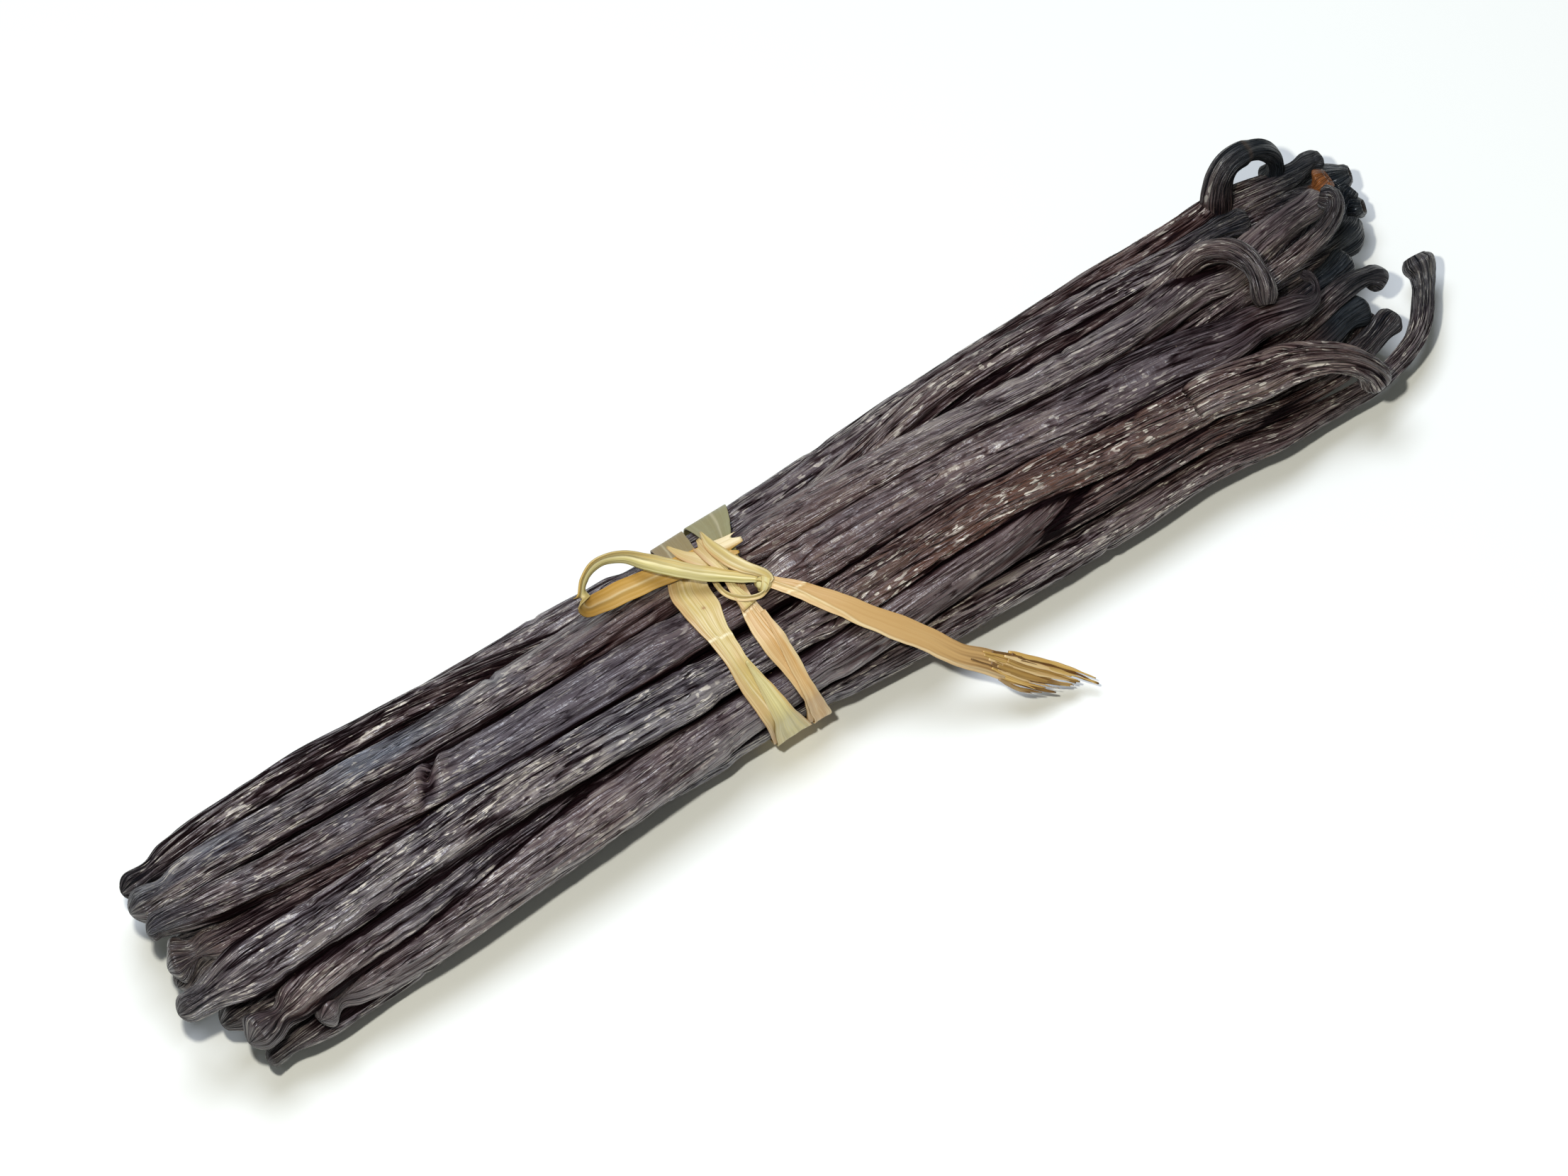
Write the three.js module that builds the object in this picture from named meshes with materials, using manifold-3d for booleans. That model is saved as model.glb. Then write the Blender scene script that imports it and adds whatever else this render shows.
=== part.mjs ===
// A bundle of cured vanilla pods, tied round its waist with a strip of dried leaf.
// Millimetres. +X runs from the blunt ends to the stem ends, +Y across, +Z up; the pods lie on z = 0.
import * as THREE from 'three';
import { mergeVertices } from 'three/addons/utils/BufferGeometryUtils.js';
import Module from 'manifold-3d';

const wasm = await Module();
wasm.setup();

// The bundle as a whole: an oval sheaf, drawn in where it is tied.
const waistX = 87;
const waistHalfWidth = 14.2;
const waistHalfHeight = 10.8;
const endHalfWidth = 16.6;
const endHalfHeight = 12.1;
const bluntFlareReach = 67;
const stemFlareReach = 46;
const axisY = 0.5;
const axisHeight = 11.95;
const originX = 95.66;
const originY = -4.66;

// One pod.
const podThickness = 0.84;
const podInset = 2.6;
const knobRadius = 1.95;
const knobLength = 1.9;
const neckRadius = 1.75;
const bluntTaper = 11;
const usualStemWidth = 2.9;
const stemTaper = 20;
const scarFlare = 0.42;
const scarFrom = 3;
const scarFull = 0.6;
const podSides = 8;
const bluntRings = [0.5, 1.7, 3.6, 7, 11, 16];
const bodyStep = 10;
const stemStep = 3.2;
const stemLead = 8;
const curvePlaces = [20, 34, 50, 68, 78, 87, 96, 108, 122, 136, 150];
const tipClearance = 5;

// The core that fills the middle of the sheaf.
const coreInset = 4.4;
const coreFrom = 10;
const coreTo = 158;
const coreSides = 14;
const coreSteps = 9;
const coreEndReach = 0.6;

// The tie.
const leafThickness = 0.6;
const leafGap = 0.3;
const bandSteps = 48;
const wrapReach = 60;
const wrapStep = 4;

// The space above the table, which the bundle is cut to.
const tableRoom = [400, 200, 100];

const podColour = 0x2b2226;
const leafColour = 0xd3bd86;

// Where each pod lies at five places along the sheaf. angle is degrees round the sheaf's axis, from +Y
// over the top to -Y. reach is 1 in the outer ring and 0 on the axis. wide is the pod's width.
// tip is the blunt end, and stem the points that the stem passes through.
const stations = [20, 50, 87, 122, 150];
const podList = [
  {
    tip: [4.6, 13.5, 13],
    angle: [-5, -4, 15, 8, 6],
    reach: [1, 1.04, 1, 1, 1],
    wide: [6, 6.4, 6.2, 6, 5.8],
    stem: [[163, 14.2, 14.2], [167.8, 14.3, 15.6], [170, 15.4, 18], [171.6, 16.5, 19.8], [173.2, 16.8, 20.4],
      [175.4, 16.6, 20.2], [177.8, 16.3, 19.1], [178.5, 15.5, 17.3]],
    stemLength: 9,
  },
  {
    tip: [3, 11.8, 16],
    angle: [25, 20, 29, 41, 43],
    reach: [1, 1.05, 0.6, 0.98, 1],
    wide: [5.8, 5.8, 5.2, 5.4, 5.2],
    stem: [[160, 10.1, 19.2], [165.5, 10.3, 19.2], [171, 9.8, 18.7]],
    stemLength: 6,
    stemWidth: 3.1,
  },
  {
    tip: [2, 7.8, 19],
    angle: [58, 59, 54, 72, 77],
    wide: [5.6, 5.8, 6.4, 5, 4.9],
    stem: [[159.5, 4.8, 20], [165, 5.3, 19], [170.6, 6.1, 18.4], [176.6, 6.6, 17.4], [183.2, 7.2, 15.4],
      [188.4, 7, 12.6]],
    stemLength: 10,
    stemWidth: 3.9,
  },
  {
    tip: [2.1, 3.8, 20.5],
    angle: [85, 88, 90, 95, 104],
    wide: [5.6, 6.2, 6.4, 6.4, 7],
    stem: [[158, -4.2, 21.2], [162.6, -5.3, 20.8], [167.4, -5.9, 20.4], [170.8, -5.4, 20.4],
      [172.4, -3.6, 20.9], [171.6, -1.2, 21.3]],
    stemLength: 5,
    stemWidth: 3.6,
  },
  {
    tip: [-0.1, -6.7, 19],
    angle: [121, 117, 122, 119, 130],
    wide: [6.8, 6.6, 6.2, 5.4, 4.6],
    stem: [[158, -10.4, 20.2], [163.2, -11.5, 19.8], [167.9, -13, 18.8], [171.1, -14.2, 17.8],
      [173.5, -15.9, 16.2], [174.6, -17.2, 13.8], [174.7, -18.4, 11.6]],
    stemLength: 20,
    stemWidth: 3.1,
  },
  {
    tip: [5.5, -13.6, 16],
    angle: [148, 143, 151, 124, 112],
    reach: [0.96, 0.86, 0.6, 0.5, 0.5],
    wide: [5.4, 5, 5, 4.8, 4.4],
    stem: [[164.5, -5.4, 16], [169.3, -5.7, 16], [174.2, -5.2, 16.4], [178.2, -5, 16.4], [182.4, -5.4, 16]],
    stemLength: 14,
    stemWidth: 3.5,
  },
  {
    tip: [14.6, -16.1, 14.4],
    angle: [172, 166, 159, 142, 138],
    reach: [1, 1, 1, 0.98, 0.5],
    wide: [6, 6.8, 6.4, 5.6, 4.6],
    stem: [[164.5, -7.3, 13], [172.6, -7.4, 12.4], [179.8, -7.4, 11]],
    stemLength: 12,
  },
  {
    tip: [7.2, -14.3, 9],
    angle: [199, 197, 198, 190, 191],
    wide: [5.6, 6, 6, 5.6, 5.2],
    stem: [[160.3, -14.9, 9], [165.4, -14.9, 8.4], [171, -14.9, 7.8], [175.1, -14.8, 7.8], [178.2, -14.3, 8],
      [181.8, -13, 8.4], [184.9, -11.2, 9.3], [187.3, -8.4, 10.4], [188.4, -6.4, 11.3], [188.6, -4.4, 12.3]],
    stemLength: 28,
  },
  {
    tip: [4.6, -8.1, 12],
    angle: [163, 170, 209, 158, 153],
    reach: [0.64, 0.55, 0.6, 0.82, 0.93],
    wide: [5, 5, 5, 4.6, 4.4],
    stem: [[159.6, -12, 12.1], [165.4, -12.1, 11], [170.5, -12.2, 10.4], [176.2, -11.4, 10.3],
      [180.3, -10.4, 10.3], [182.3, -9.4, 10.3]],
    stemLength: 14,
  },
  {
    tip: [5.4, 3, 16.4],
    angle: [97, 100, 122, 80, 88],
    reach: [0.78, 0.62, 0.34, 0.5, 0.6],
    wide: [4.6, 5, 5, 4.6, 4.2],
    stem: [[164.4, 1.7, 17], [169.4, 1.7, 18], [174.4, 1.9, 19], [178.5, 2.7, 19.4], [181.2, 4.3, 19.5],
      [181.7, 5.7, 19.5], [180.7, 6.8, 19.5]],
    stemLength: 18,
  },
  {
    tip: [2.6, -1.4, 13],
    angle: [70, 66, 58, 58, 62],
    reach: [0.5, 0.5, 0.34, 0.78, 0.87],
    wide: [4.8, 5, 5, 4.8, 4.6],
    stem: [[158.4, 7.3, 20], [160.6, 7.2, 22.1], [162.9, 6.5, 23.8], [164.9, 4.6, 24.8], [166, 1.9, 25.2],
      [166.1, -0.8, 24.8], [165.5, -2.9, 23.8]],
    stemLength: 17,
    stemWidth: 3.1,
  },
  {
    tip: [8.5, 13.5, 7],
    angle: [332, 328, 346, 338, 338],
    wide: [6, 6.2, 5.8, 6, 5.6],
    stem: [[162.6, 14.1, 12], [167.6, 14.5, 12.8], [172.8, 14.6, 13.4], [178, 13.9, 13.4],
      [182.6, 12.9, 13], [187.2, 12.6, 13.4]],
    stemLength: 7,
    stemWidth: 3.5,
  },
  {
    tip: [10.5, 8, 5],
    angle: [305, 300, 315, 308, 310],
    stem: [[163.5, 10.2, 5], [174, 11.2, 6.5], [182.5, 12.4, 9], [189.4, 11.9, 10.4]],
    stemLength: 14,
  },
  {
    tip: [8, 2, 5.5],
    angle: [280, 275, 287, 280, 283],
    reach: [1.06, 1.05, 1, 1.07, 1.09],
    stem: [[163.5, 4, 4], [174, 6.4, 5], [182.5, 9.4, 6.6], [191, 10.6, 8.2]],
    stemLength: 15,
  },
  {
    tip: [10.5, -5.5, 5],
    angle: [254, 250, 260, 251, 256],
    reach: [1.09, 1.06, 1, 1.1, 1.1],
    stem: [[163.5, -4, 4.2], [174, -1, 6], [181.4, 3.8, 7.5], [189.2, 6.4, 7.4]],
    stemLength: 15,
  },
  {
    tip: [8.5, -11, 6.5],
    angle: [226, 223, 231, 220, 226],
    stem: [[162, -10.4, 5], [170, -9.6, 5.6], [176, -8.4, 7.4], [180, -7, 9]],
    stemLength: 14,
  },
  {
    tip: [2.5, 0.3, 15.4],
    angle: [106, 118, 238, 210, 160],
    reach: [0.68, 0.54, 0.34, 0.4, 0.35],
    wide: [4.6, 5, 5, 4.6, 4.2],
    stem: [[165.5, -1.4, 12.5], [174, 0.8, 11.5], [180.5, 3.2, 10], [186.8, 4.4, 9.2]],
    stemLength: 13,
  },
  {
    tip: [5.4, 10.5, 12],
    angle: [15, 10, 331, 350, 10],
    reach: [0.6, 0.55, 0.6, 0.5, 0.5],
    wide: [4.8, 5, 5, 4.8, 4.4],
    stem: [[164.5, 8, 14], [174, 8.6, 13], [182, 10.6, 12], [189.4, 11.6, 11.6]],
    stemLength: 13,
  },
  {
    tip: [7.4, 6.5, 9],
    angle: [320, 300, 302, 300, 320],
    reach: [0.5, 0.4, 0.34, 0.4, 0.45],
    wide: [4.8, 5, 5, 4.8, 4.4],
    stem: [[164.5, 5, 9.4], [174, 5.6, 9.4], [182, 6.8, 9.6], [190, 7.6, 10]],
    stemLength: 13,
  },
];
const usualReach = [1, 1, 1, 1, 1];
const usualWide = [6, 6.2, 6.2, 6, 5.4];

// The leaf bands: centre along the sheaf and width, at angles round it.
const bluntBand = [
  { angle: 16, x: 85.1, wide: 4.6 },
  { angle: 45, x: 83.9, wide: 4.4 },
  { angle: 70, x: 81.9, wide: 5.1 },
  { angle: 90, x: 81.7, wide: 4.5 },
  { angle: 105, x: 81.6, wide: 3.3 },
  { angle: 125, x: 81.6, wide: 2.8 },
  { angle: 150, x: 82.5, wide: 4 },
  { angle: 190, x: 84.8, wide: 4.8 },
  { angle: 230, x: 86.6, wide: 4.4 },
  { angle: 310, x: 86.8, wide: 4.2 },
];
const stemBand = [
  { angle: 16, x: 91.1, wide: 6 },
  { angle: 52, x: 89.2, wide: 2.8 },
  { angle: 72, x: 88.2, wide: 2.3 },
  { angle: 90, x: 87.1, wide: 2.4 },
  { angle: 107, x: 86.7, wide: 3.1 },
  { angle: 125, x: 87, wide: 3.1 },
  { angle: 150, x: 87.5, wide: 2.2 },
  { angle: 185, x: 88.8, wide: 3.3 },
  { angle: 230, x: 89.4, wide: 3.8 },
  { angle: 310, x: 89.8, wide: 4.4 },
];

// The loose leaf: each strand's middle line, the direction across it, and its width along the way.
const bowLoop = {
  middle: [[90, -0.4, 24.6], [87.8, 2, 25.2], [84.6, 3.8, 26.4], [81.4, 6, 27.7], [79, 7.9, 28.7],
    [76, 9.6, 29.3], [73.4, 10.5, 29.2], [71.3, 10.4, 28.4], [70, 9.7, 27.2], [69.6, 9, 25.9],
    [70.4, 8.6, 24.9], [75, 8.2, 24.4], [80.1, 7.6, 24], [87.2, 6.6, 23.7], [91.8, 6, 23.9]],
  across: [0.3, 0.87, 0.38],
  wide: [1.6, 2, 2.4, 2.5, 2.3, 2.1, 2.1, 2.3, 2.5, 2.7, 2.8, 2.8, 2.8, 2.8, 1.4],
};
const shortEnd = {
  middle: [[90, 0.3, 24.8], [88.2, 2.7, 25.3], [86.4, 5.1, 25.6], [85, 7.6, 25.6]],
  across: [0.85, 0.5, 0.1],
  wide: [1.6, 2, 1.9, 1.6],
};
const tail = {
  middle: [[90, -0.2, 24.6], [92.6, -3.4, 24.6], [94.5, -5.7, 24], [96.8, -8.4, 23], [100.2, -11.9, 20.8],
    [103.4, -14.7, 18.4], [106.6, -16.9, 15.2], [110.6, -18.9, 11.8], [114.2, -20.9, 8.2],
    [118.2, -23.5, 4.8], [123, -27, 2]],
  across: [0.75, 0.6, 0.25],
  wide: [1.6, 2.4, 3, 3.4, 3.5, 3.4, 3.2, 3.2, 3.5, 3.4, 1.2],
};
const underLoop = {
  middle: [[86, 4.2, 23.9], [85.5, 1.4, 24.2], [86.7, -1, 24.2], [88.6, -2, 24.4], [90.4, -1, 24.6]],
  across: [0.5, 0.5, 0.7],
  wide: [1.2, 1.2, 1.2, 1.2, 1.2],
};
const knotCentre = [89.7, -0.7, 24.6];
const knotSize = [1.5, 1.25, 1.2];

const radians = THREE.MathUtils.degToRad;
const lerp = THREE.MathUtils.lerp;
const smoothstep = THREE.MathUtils.smoothstep;

// Half the sheaf's width and height at x, out to the faces of its outer pods.
function sheafHalf(x) {
  const reach = x < waistX ? bluntFlareReach : stemFlareReach;
  const flare = smoothstep(Math.abs(x - waistX), 0, reach);
  return {
    y: lerp(waistHalfWidth, endHalfWidth, flare),
    z: lerp(waistHalfHeight, endHalfHeight, flare),
  };
}

// A smooth curve through values at the stations: Catmull-Rom, level at both ends.
function alongStations(values, x) {
  const last = stations.length - 1;
  const at = THREE.MathUtils.clamp(x, stations[0], stations[last]);
  let i = 0;
  while (i < last - 1 && at > stations[i + 1]) i += 1;
  const span = stations[i + 1] - stations[i];
  const t = (at - stations[i]) / span;
  const slope = (k) => {
    if (k === 0 || k === last) return 0;
    return (values[k + 1] - values[k - 1]) / (stations[k + 1] - stations[k - 1]);
  };
  const h = t * t * (3 - 2 * t);
  const lean = span * t * (1 - t);
  return lerp(values[i], values[i + 1], h) + lean * ((1 - t) * slope(i) - t * slope(i + 1));
}

// Angles are blended as directions, so that an inner pod may cross the axis.
function podCentre(pod, x) {
  const reach = pod.reach ?? usualReach;
  const across = stations.map((_, k) => reach[k] * Math.cos(radians(pod.angle[k])));
  const up = stations.map((_, k) => reach[k] * Math.sin(radians(pod.angle[k])));
  const half = sheafHalf(x);
  return new THREE.Vector3(
    x,
    axisY + (half.y - podInset) * alongStations(across, x),
    axisHeight + (half.z - podInset) * alongStations(up, x),
  );
}

function podCurve(pod) {
  const points = [new THREE.Vector3(...pod.tip)];
  for (const x of curvePlaces) {
    if (x > pod.tip[0] + tipClearance) points.push(podCentre(pod, x));
  }
  for (const place of pod.stem) points.push(new THREE.Vector3(...place));
  return new THREE.CatmullRomCurve3(points, false, 'centripetal');
}

// Half the pod's width at a distance from its blunt tip, and how flat it is there.
function podHalfWidth(pod, x, distance, length) {
  const body = alongStations(pod.wide ?? usualWide, x) / 2;
  const knob = lerp(neckRadius, knobRadius, 1 - smoothstep(distance, knobLength, 2.5 * knobLength));
  const blunt = lerp(knob, body, smoothstep(distance, knobLength, bluntTaper));
  const stemFrom = length - pod.stemLength;
  const stem = (pod.stemWidth ?? usualStemWidth) / 2;
  const shrunk = lerp(blunt, stem, smoothstep(distance, stemFrom - stemTaper, stemFrom + 3));
  const scar = shrunk + scarFlare * smoothstep(distance, length - scarFrom, length - scarFull);
  const nose = Math.min(1, distance / knobLength);
  return scar * Math.sqrt(1 - (1 - nose) ** 2);
}

function podFlatness(pod, distance, length) {
  const stemFrom = length - pod.stemLength;
  const pastKnob = smoothstep(distance, knobLength, bluntTaper);
  const beforeStem = 1 - smoothstep(distance, stemFrom - stemTaper, stemFrom);
  return lerp(1, podThickness, pastKnob * beforeStem);
}

// Distances from the blunt tip at which a pod has a ring: close at its ends and along its stem.
function podDistances(pod, length) {
  const bodyFrom = bluntRings.at(-1);
  const stemFrom = length - pod.stemLength - stemLead;
  const stemTo = length - scarFrom;
  const evenly = (from, to, step) => {
    const steps = Math.round((to - from) / step);
    return Array.from({ length: steps }, (_, i) => lerp(from, to, (i + 1) / steps));
  };
  const body = evenly(bodyFrom, stemFrom, bodyStep);
  const stem = evenly(stemFrom, stemTo, stemStep);
  return [...bluntRings, ...body, ...stem, length - 1, length];
}

// A closed skin over rings of points, with a middle point at either end.
function skinOver(rings, startPoint, endPoint) {
  const sides = rings[0].length;
  const places = [startPoint, ...rings.flat(), endPoint];
  const endIndex = places.length - 1;
  const faces = [];
  for (let k = 0; k < sides; k += 1) {
    const next = (k + 1) % sides;
    faces.push(0, 1 + next, 1 + k);
    for (let r = 0; r < rings.length - 1; r += 1) {
      const here = 1 + r * sides;
      const there = here + sides;
      faces.push(here + k, here + next, there + next, here + k, there + next, there + k);
    }
    const lastRing = 1 + (rings.length - 1) * sides;
    faces.push(endIndex, lastRing + k, lastRing + next);
  }
  return geometryFrom(places, faces);
}

// A skin over rings that close on themselves, such as a band round the sheaf.
function skinRound(rings) {
  const sides = rings[0].length;
  const faces = [];
  for (let r = 0; r < rings.length; r += 1) {
    const here = r * sides;
    const there = ((r + 1) % rings.length) * sides;
    for (let k = 0; k < sides; k += 1) {
      const next = (k + 1) % sides;
      faces.push(here + k, here + next, there + next, here + k, there + next, there + k);
    }
  }
  return geometryFrom(rings.flat(), faces);
}

function geometryFrom(places, faces) {
  const geometry = new THREE.BufferGeometry();
  const numbers = places.flatMap((place) => [place.x, place.y, place.z]);
  geometry.setAttribute('position', new THREE.Float32BufferAttribute(numbers, 3));
  geometry.setIndex(faces);
  return geometry;
}

function signedVolume(geometry) {
  const place = geometry.attributes.position;
  const faces = geometry.index.array;
  const [a, b, c] = [new THREE.Vector3(), new THREE.Vector3(), new THREE.Vector3()];
  let volume = 0;
  for (let i = 0; i < faces.length; i += 3) {
    a.fromBufferAttribute(place, faces[i]);
    b.fromBufferAttribute(place, faces[i + 1]);
    c.fromBufferAttribute(place, faces[i + 2]);
    volume += a.dot(b.cross(c)) / 6;
  }
  return volume;
}

// A solid for joining and cutting, its faces turned outward.
function solidOf(geometry) {
  const bare = geometry.clone();
  bare.deleteAttribute('normal');
  bare.deleteAttribute('uv');
  const merged = mergeVertices(bare, 1e-4);
  const faces = Uint32Array.from(merged.index.array);
  if (signedVolume(merged) < 0) faces.reverse();
  const mesh = new wasm.Mesh({
    numProp: 3,
    vertProperties: Float32Array.from(merged.attributes.position.array),
    triVerts: faces,
  });
  mesh.merge();
  return new wasm.Manifold(mesh);
}

function joined(solids) {
  return solids.reduce((whole, solid) => whole.add(solid));
}

// The largest body alone: hollows sealed between pods are filled and loose scraps dropped.
function mainBody(solid) {
  return solid.decompose().reduce((best, piece) => (piece.volume() > best.volume() ? piece : best));
}

function geometryOf(solid) {
  const mesh = solid.getMesh();
  const geometry = new THREE.BufferGeometry();
  geometry.setAttribute('position', new THREE.Float32BufferAttribute(mesh.vertProperties, mesh.numProp));
  geometry.setIndex(Array.from(mesh.triVerts));
  return geometry.toNonIndexed();
}

// Outward from the sheaf's axis at a point.
function outwardAt(point) {
  return new THREE.Vector3(0, point.y - axisY, point.z - axisHeight).normalize();
}

function podSolid(pod) {
  const curve = podCurve(pod);
  curve.arcLengthDivisions = 400;
  const length = curve.getLength();
  const face = outwardAt(podCentre(pod, stations[0]));
  const rings = podDistances(pod, length).map((distance) => {
    const u = distance / length;
    const centre = curve.getPointAt(u);
    const ahead = curve.getTangentAt(u);
    const inBody = distance < length - pod.stemLength - stemTaper;
    if (inBody && (pod.reach ?? usualReach)[2] > 0.8) face.lerp(outwardAt(centre), 0.5);
    face.addScaledVector(ahead, -face.dot(ahead)).normalize();
    const side = new THREE.Vector3().crossVectors(ahead, face);
    const half = podHalfWidth(pod, centre.x, distance, length);
    const flat = half * podFlatness(pod, distance, length);
    return Array.from({ length: podSides }, (_, k) => {
      const turn = ((k + 0.5) / podSides) * 2 * Math.PI;
      return centre
        .clone()
        .addScaledVector(side, half * Math.cos(turn))
        .addScaledVector(face, flat * Math.sin(turn));
    });
  });
  return solidOf(skinOver(rings, curve.getPointAt(0), curve.getPointAt(1)));
}

function coreSolid() {
  const rings = Array.from({ length: coreSteps + 1 }, (_, r) => {
    const x = lerp(coreFrom, coreTo, r / coreSteps);
    const half = sheafHalf(x);
    const reach = r === 0 || r === coreSteps ? coreEndReach : 1;
    return Array.from({ length: coreSides }, (_, k) => {
      const turn = (k / coreSides) * 2 * Math.PI;
      const across = reach * (half.y - coreInset) * Math.cos(turn);
      const up = reach * (half.z - coreInset) * Math.sin(turn);
      return new THREE.Vector3(x, axisY + across, axisHeight + up);
    });
  });
  const start = new THREE.Vector3(coreFrom, axisY, axisHeight);
  const end = new THREE.Vector3(coreTo, axisY, axisHeight);
  return solidOf(skinOver(rings, start, end));
}

// Everything above the surface that the bundle lies on, which leaves small flats under the lowest pods.
function aboveTable() {
  const room = new THREE.BoxGeometry(...tableRoom);
  room.translate(waistX, 0, tableRoom[2] / 2);
  return solidOf(room);
}

// Pods' places and half sizes where a plane crosses the sheaf, for the leaf that goes round them.
function podsAt(x) {
  return podList.map((pod) => {
    const centre = podCentre(pod, x);
    const half = alongStations(pod.wide ?? usualWide, x) / 2;
    return { centre, half, flat: half * podThickness, face: outwardAt(centre) };
  });
}

// How far from the sheaf's axis a leaf pulled tight round the pods lies, in one direction.
function tightReach(sections, angle) {
  let reach = Infinity;
  for (let turn = -wrapReach; turn <= wrapReach; turn += wrapStep) {
    const normal = new THREE.Vector3(0, Math.cos(radians(angle + turn)), Math.sin(radians(angle + turn)));
    const support = Math.max(...sections.map(({ centre, half, flat, face }) => {
      const out = (centre.y - axisY) * normal.y + (centre.z - axisHeight) * normal.z;
      const along = face.dot(normal);
      return out + Math.hypot(flat * along, half * Math.sqrt(Math.max(0, 1 - along * along)));
    }));
    reach = Math.min(reach, (support + leafGap) / Math.cos(radians(turn)));
  }
  return reach;
}

// A value from a list round the sheaf, eased between its angles.
function roundSheaf(list, key, angle) {
  const turned = (angle - list[0].angle + 360) % 360 + list[0].angle;
  const closed = [...list, { ...list[0], angle: list[0].angle + 360 }];
  const i = closed.findIndex((place, k) => k > 0 && turned <= place.angle) - 1;
  const t = (turned - closed[i].angle) / (closed[i + 1].angle - closed[i].angle);
  return lerp(closed[i][key], closed[i + 1][key], t * t * (3 - 2 * t));
}

function bandSolid(list) {
  const rings = Array.from({ length: bandSteps }, (_, k) => {
    const angle = (k * 360) / bandSteps;
    const middle = roundSheaf(list, 'x', angle);
    const half = roundSheaf(list, 'wide', angle) / 2;
    const edges = [middle - half, middle + half];
    const reach = Math.max(...edges.map((x) => tightReach(podsAt(x), angle)));
    const [near, far] = edges.map((x) => [reach, reach + leafThickness].map((out) => new THREE.Vector3(
      x,
      axisY + out * Math.cos(radians(angle)),
      axisHeight + out * Math.sin(radians(angle)),
    )));
    return [near[0], far[0], far[1], near[1]];
  });
  return solidOf(skinRound(rings));
}

function strandSolid({ middle, across, wide }) {
  const places = middle.map((place) => new THREE.Vector3(...place));
  const curve = new THREE.CatmullRomCurve3(places, false, 'centripetal');
  const widthCurve = (t) => {
    const at = t * (wide.length - 1);
    const i = Math.min(wide.length - 2, Math.floor(at));
    return lerp(wide[i], wide[i + 1], at - i);
  };
  const steps = (middle.length - 1) * 2;
  const rings = Array.from({ length: steps + 1 }, (_, k) => {
    const t = k / steps;
    const centre = curve.getPoint(t);
    const ahead = curve.getTangent(t);
    const side = new THREE.Vector3(...across);
    side.addScaledVector(ahead, -side.dot(ahead)).normalize();
    const face = new THREE.Vector3().crossVectors(ahead, side);
    const half = widthCurve(t) / 2;
    const corner = (sideways, outward) => centre
      .clone()
      .addScaledVector(side, sideways * half)
      .addScaledVector(face, (outward * leafThickness) / 2);
    return [corner(-1, -1), corner(1, -1), corner(1, 1), corner(-1, 1)];
  });
  return solidOf(skinOver(rings, curve.getPoint(0), curve.getPoint(1)));
}

function knotSolid() {
  const knot = new THREE.SphereGeometry(1, 12, 8);
  knot.scale(...knotSize);
  knot.translate(...knotCentre);
  return solidOf(knot);
}

function podsMesh() {
  const sheaf = joined([coreSolid(), ...podList.map(podSolid)]);
  const lying = mainBody(sheaf.intersect(aboveTable()));
  const material = new THREE.MeshStandardMaterial({ color: podColour, roughness: 0.45, metalness: 0 });
  const mesh = new THREE.Mesh(geometryOf(lying), material);
  mesh.name = 'pods';
  return mesh;
}

function leafTieMesh() {
  const bands = [bandSolid(bluntBand), bandSolid(stemBand)];
  const loose = [bowLoop, shortEnd, tail, underLoop].map(strandSolid);
  const tie = mainBody(joined([...bands, knotSolid(), ...loose]));
  const material = new THREE.MeshStandardMaterial({ color: leafColour, roughness: 0.6, metalness: 0 });
  const mesh = new THREE.Mesh(geometryOf(tie), material);
  mesh.name = 'leaf_tie';
  return mesh;
}

const bundle = new THREE.Group();
bundle.add(podsMesh(), leafTieMesh());
bundle.position.set(-originX, -originY, 0);

export default bundle;
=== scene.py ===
import math

import bpy
import numpy as np
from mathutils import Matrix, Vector


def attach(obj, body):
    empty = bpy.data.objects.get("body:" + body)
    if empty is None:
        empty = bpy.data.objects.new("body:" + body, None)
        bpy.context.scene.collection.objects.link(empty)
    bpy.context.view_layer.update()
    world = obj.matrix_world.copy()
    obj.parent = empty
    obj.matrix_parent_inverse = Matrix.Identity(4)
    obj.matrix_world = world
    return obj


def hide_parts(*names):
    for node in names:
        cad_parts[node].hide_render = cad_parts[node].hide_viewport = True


# A bundle of cured vanilla pods, tied round its waist with a strip of dried leaf.
# Lengths are in millimetres in the sheaf's own axes until meshFrom() turns them to metres in the row's.
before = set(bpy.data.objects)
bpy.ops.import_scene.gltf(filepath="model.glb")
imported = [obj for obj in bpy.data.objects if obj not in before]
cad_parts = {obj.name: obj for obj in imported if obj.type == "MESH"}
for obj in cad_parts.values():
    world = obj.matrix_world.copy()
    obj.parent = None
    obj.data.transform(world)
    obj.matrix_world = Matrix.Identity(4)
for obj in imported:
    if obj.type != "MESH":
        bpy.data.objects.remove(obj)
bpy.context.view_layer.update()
print("frame loaded")

origin = np.array([95.66, -4.66, 0.0])

cameraView = {
    "turn": -34.0,  # degrees round the bundle
    "rise": 65.0,  # degrees above the table
    "distance": 900.0,
    "target": (94.7, 2.2, 12.15),
    "sensor": 36.0,
    "frameWidth": 197.5,  # how much of the bundle's length the view takes in
}


def toLinear(hexColour, alpha=1.0):
    parts = [int(hexColour[i : i + 2], 16) / 255 for i in (1, 3, 5)]
    linear = [c / 12.92 if c <= 0.04045 else ((c + 0.055) / 1.055) ** 2.4 for c in parts]
    return (*linear, alpha)


def toRow(points):
    return (np.asarray(points, float) - origin) / 1000


def backward(view):
    turn, rise = math.radians(view["turn"]), math.radians(view["rise"])
    return Vector((math.sin(turn) * math.cos(rise), -math.cos(turn) * math.cos(rise), math.sin(rise)))


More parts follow.
